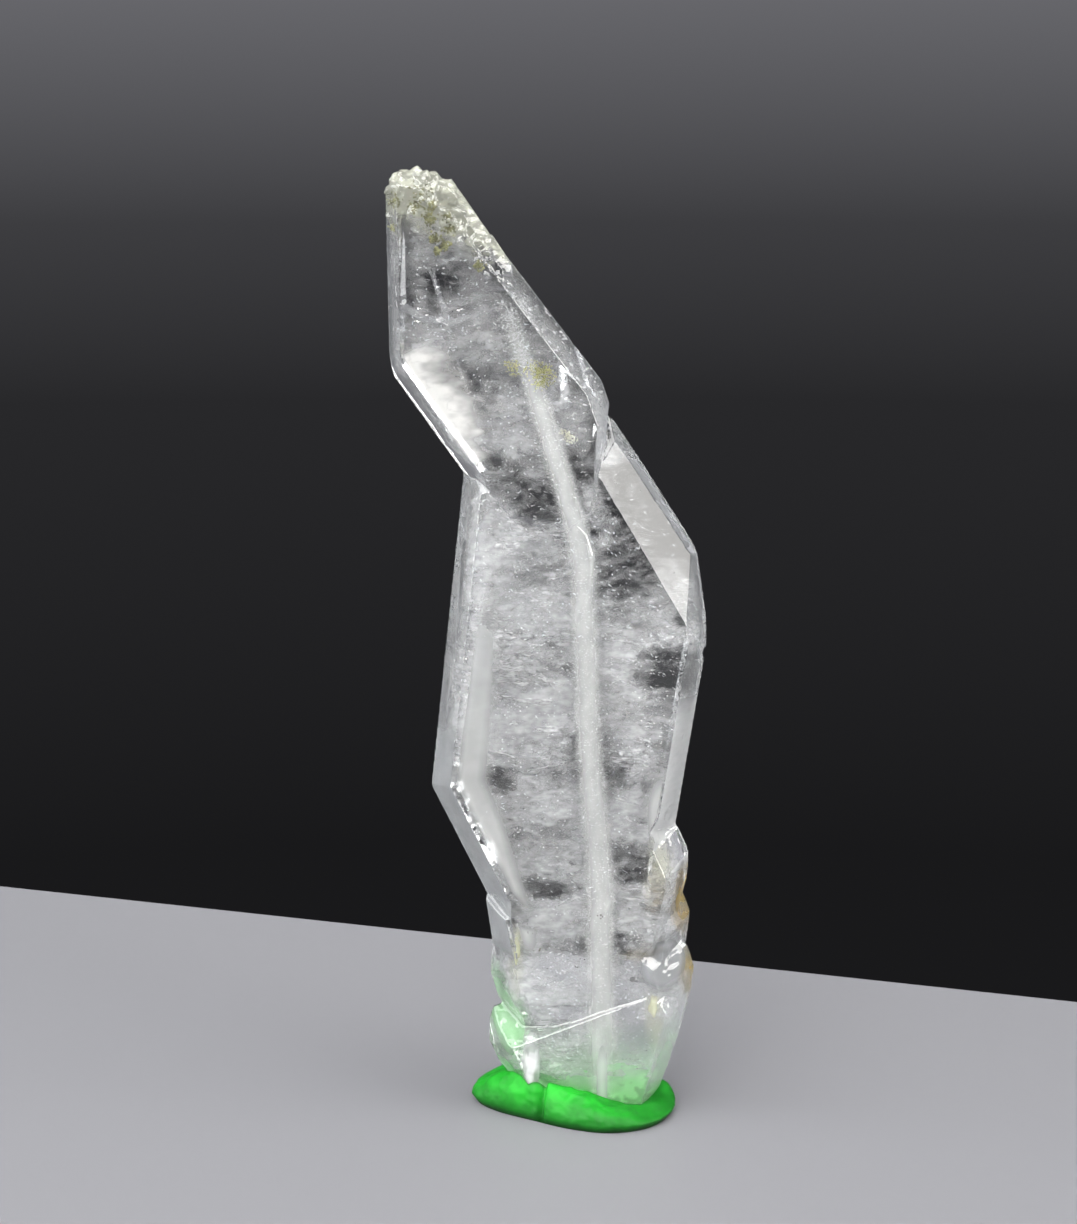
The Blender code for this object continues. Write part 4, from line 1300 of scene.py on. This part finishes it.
def make_putty():
    points, width = putty_points()
    height = points[:, 2].copy()
    kneaded = layered_noise(points, (1.6, 1.6, 1.6), 91) - 0.5
    skin = layered_noise(points, (0.35, 0.35, 0.35), 93) - 0.5
    inward = (PUTTY_MIDDLE - points[:, :2]) / np.linalg.norm(PUTTY_MIDDLE - points[:, :2], axis=1)[:, None]
    raised = np.clip(height / PUTTY_SKIRT, 0, 1)
    push = raised * (LUMP * np.maximum(-kneaded, 0) + SKIN_GRAIN * (0.5 + skin))
    fold = past_crease(points[:, 0], points[:, 1]) / FOLD_HALF_WIDTH
    push += FOLD_DEPTH * raised * np.exp(-fold ** 2) * np.clip(-points[:, 1] - 2.0, 0, 1)
    points[:, :2] += inward * push[:, None]
    points[:, 2] += raised * (LUMP * kneaded + SKIN_GRAIN * skin) * np.clip(height - 0.8, 0, 1)
    rings = len(points) // width
    first = np.arange((rings - 1) * width)
    following = np.where(first % width == width - 1, first + 1 - width, first + 1)
    faces = np.c_[first, following, following + width, first + width].tolist()
    faces += [list(range(width))[::-1], list(range((rings - 1) * width, rings * width))]
    return smooth_piece("pressed_putty", points, faces)


putty = make_putty()
print("putty:", len(putty.data.polygons), "faces")

# %% [markdown]
# ## The finish of the putty
# Mounting putty is matt, with a soft shine where fingers pressed it. Its green is even, so a slow noise
# moves it only a little. Towards the table the green turns dark by height: painted shade for its underside.

# %% Finish of the putty
# The third colour is painted shade, laid on towards the table by the heights and shares below.
PUTTY_DARK, PUTTY_LIGHT, PUTTY_SHADED = (0.004, 0.17, 0.008), (0.010, 0.27, 0.015), (0.002, 0.03, 0.003)
PUTTY_SHADE_HEIGHT, PUTTY_SHADE_SHARE = (0.2, 2.1), (0.85, 0.0)       # mm above the table, and how much painted shade it has there


def green_putty():
    """Matt green with slow changes and painted shade towards the table."""
    material, tree, shader = new_material("green_putty", 0.5, Specular_IOR_Level=0.18)
    tint = noise_tint(tree, shader, 1.5, PUTTY_DARK, PUTTY_LIGHT, 3.0)
    place = add(tree, "ShaderNodeTexCoord").outputs["Object"]
    height = add(tree, "ShaderNodeSeparateXYZ", {0: place}).outputs["Z"]
    # Painted shade: darker towards the table.
    putty_shade = add(tree, "ShaderNodeMapRange", {
        "Value": height, "From Min": PUTTY_SHADE_HEIGHT[0] * MM, "From Max": PUTTY_SHADE_HEIGHT[1] * MM,
        "To Min": PUTTY_SHADE_SHARE[0], "To Max": PUTTY_SHADE_SHARE[1]})
    tint = add(tree, "ShaderNodeMix", {0: putty_shade.outputs[0], 6: tint, 7: (*PUTTY_SHADED, 1.0)},
               data_type="RGBA")
    tree.links.new(tint.outputs[2], shader.inputs["Base Color"])
    return material


putty.data.materials.append(green_putty())
print("finish:", putty.data.materials[0].name)

# %% [markdown]
# ## Hang the pieces on the frame
# Nothing on the specimen moves, so every piece rides on the one body. The fine skin and the kneaded pad
# take the place of the plain solids.

# %% Ride on the frame
inner_parts = [level_films, steep_films, soft_films, haze_flakes, needles, faden, ribbons]
for piece in [crystal] + inner_parts + skin_films + grains + cracks:
    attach(piece, "root")
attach(putty, "root")
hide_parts("crystal")
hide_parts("putty")
bpy.data.objects.remove(bare_crystal)
print("pieces in the quartz:", len(inner_parts + skin_films + grains + cracks))

# %% [markdown]
# ## The floor
# A plain, pale floor catches the putty's shadow. Its far edge runs slantwise, so the dark backdrop
# begins just above the foot and the crystal stands out against it.

# %% Floor
FLOOR = ((-300, -250), (300, -250), (300, -58), (-300, 130))     # x, y
floor_mesh = bpy.data.meshes.new("floor")
floor_mesh.from_pydata([(x * MM, y * MM, 0.0) for x, y in FLOOR], [], [(0, 1, 2, 3)])
floor = link("floor", floor_mesh)
floor_mesh.materials.append(new_material("pale_floor", 0.6, (0.14, 0.14, 0.15))[0])
print("floor:", FLOOR[1][0] - FLOOR[0][0], "mm wide")

# %% [markdown]
# ## Backdrop
# Clear quartz shows what is behind it, so the backdrop sets how dark the windows are. It is dark in the
# middle and lighter above. A pale glow to both sides, out of the camera's sight, keeps the edge faces
# from going black.

# %% Backdrop
SKY_HEIGHTS = (-0.30, 0.06)         # from straight behind down to the floor, up to the picture's top
SKY = ((0.0, 0.010), (0.25, 0.016), (0.5, 0.022), (0.7, 0.048), (1.0, 0.155))   # share of it, and grey
SKY_TINT = np.array((0.98, 0.98, 1.07))
SIDE_GLOW = (0.44, 0.455, 0.48, 1.0)


def make_world():
    """A dark backdrop behind the specimen, lighter above, with a pale glow to both sides."""
    world = bpy.data.worlds.new("studio")
    world.use_nodes = True
    tree = world.node_tree

    def reach(value, start, end, **options):
        """0 where value is start, up to 1 where it is end."""
        return add(tree, "ShaderNodeMapRange", {"Value": value, "From Min": start, "From Max": end},
                   **options).outputs[0]

    where = add(tree, "ShaderNodeTexCoord").outputs["Generated"]
    towards = add(tree, "ShaderNodeSeparateXYZ", {0: where}).outputs
    sky = ramp(tree, reach(towards["Z"], *SKY_HEIGHTS), *((at, tuple(grey * SKY_TINT)) for at, grey in SKY))
    behind = reach(towards["Y"], 0.80, 0.35, interpolation_type="SMOOTHSTEP")
    before = reach(towards["Y"], -0.85, -0.5, interpolation_type="SMOOTHSTEP")
    glow = add(tree, "ShaderNodeMix", {0: calculate(tree, "MULTIPLY", behind, before), 6: sky,
                                       7: SIDE_GLOW}, data_type="RGBA").outputs[2]
    tree.links.new(glow, tree.nodes["Background"].inputs["Color"])
    return world


bpy.context.scene.world = make_world()
bpy.context.scene.world.cycles.sampling_method = "NONE"
print("backdrop:", bpy.context.scene.world.name)

# %% [markdown]
# ## Lit panels
# Four soft panels light the milk: one at the right is mirrored by the end face, and the others fill in
# from the left, above and in front. The panels are glowing squares, not lamp objects. Lamps are looked
# up from every point, and the quartz lies in the way each time. Squares that rays find by themselves
# give the same picture in half the time.

# %% Panels
AIM = Vector((0.0, 0.0, 0.036))
PANELS = (                  # name, direction, distance, width, height, brightness, colour
    ("right_box", (0.88, -0.35, 0.32), 0.6, 0.40, 0.40, 9.2, (1.0, 0.985, 0.96)),
    ("left_box", (-0.85, -0.30, 0.40), 0.6, 0.60, 0.65, 5.0, (0.98, 0.99, 1.0)),
    ("top_box", (0.0, -0.25, 1.0), 0.6, 0.60, 0.40, 8.0, (1.0, 1.0, 1.0)),
    ("front_box", (-0.3, -0.85, 0.55), 0.7, 0.50, 0.40, 11.6, (1.0, 0.99, 0.97)),
)


def lit_panel(name, direction, distance, width, height, brightness, color):
    """A glowing panel that faces the specimen from a direction. Its sizes are in metres."""
    towards = Vector(direction).normalized()
    turn = towards.to_track_quat("Z", "Y")
    corners = [AIM + towards * distance + turn @ Vector((across * width / 2, up * height / 2, 0.0))
               for across, up in ((1, -1), (-1, -1), (-1, 1), (1, 1))]
    mesh = bpy.data.meshes.new(name)
    mesh.from_pydata(corners, [], [(0, 1, 2, 3)])
    lit = new_material(name, 1.0, (0.0, 0.0, 0.0), Specular_IOR_Level=0.0,
                       Emission_Color=(*color, 1.0), Emission_Strength=brightness)[0]
    lit.cycles.emission_sampling = "NONE"
    mesh.materials.append(lit)
    panel = link(name, mesh)
    panel.visible_camera = False
    panel.visible_shadow = False


for facts in PANELS:
    lit_panel(*facts)
print("lit panels:", len(PANELS))

# %% [markdown]
# ## Light through many layers
# A ray crosses two skins and many films before it gets out. With too few bounces it ends inside and the
# quartz turns grey, so the limits for clear and glassy bounces are raised. Light that bounces between
# white surfaces adds little here, so two such bounces are enough.

# %% Render settings that belong to the glass
BOUNCES = {"max_bounces": 10, "transmission_bounces": 10, "diffuse_bounces": 2, "glossy_bounces": 8,
           "transparent_max_bounces": 24}
scene = bpy.context.scene
scene.view_settings.view_transform = "Standard"
for limit, count in BOUNCES.items():
    setattr(scene.cycles, limit, count)
print("bounces:", BOUNCES)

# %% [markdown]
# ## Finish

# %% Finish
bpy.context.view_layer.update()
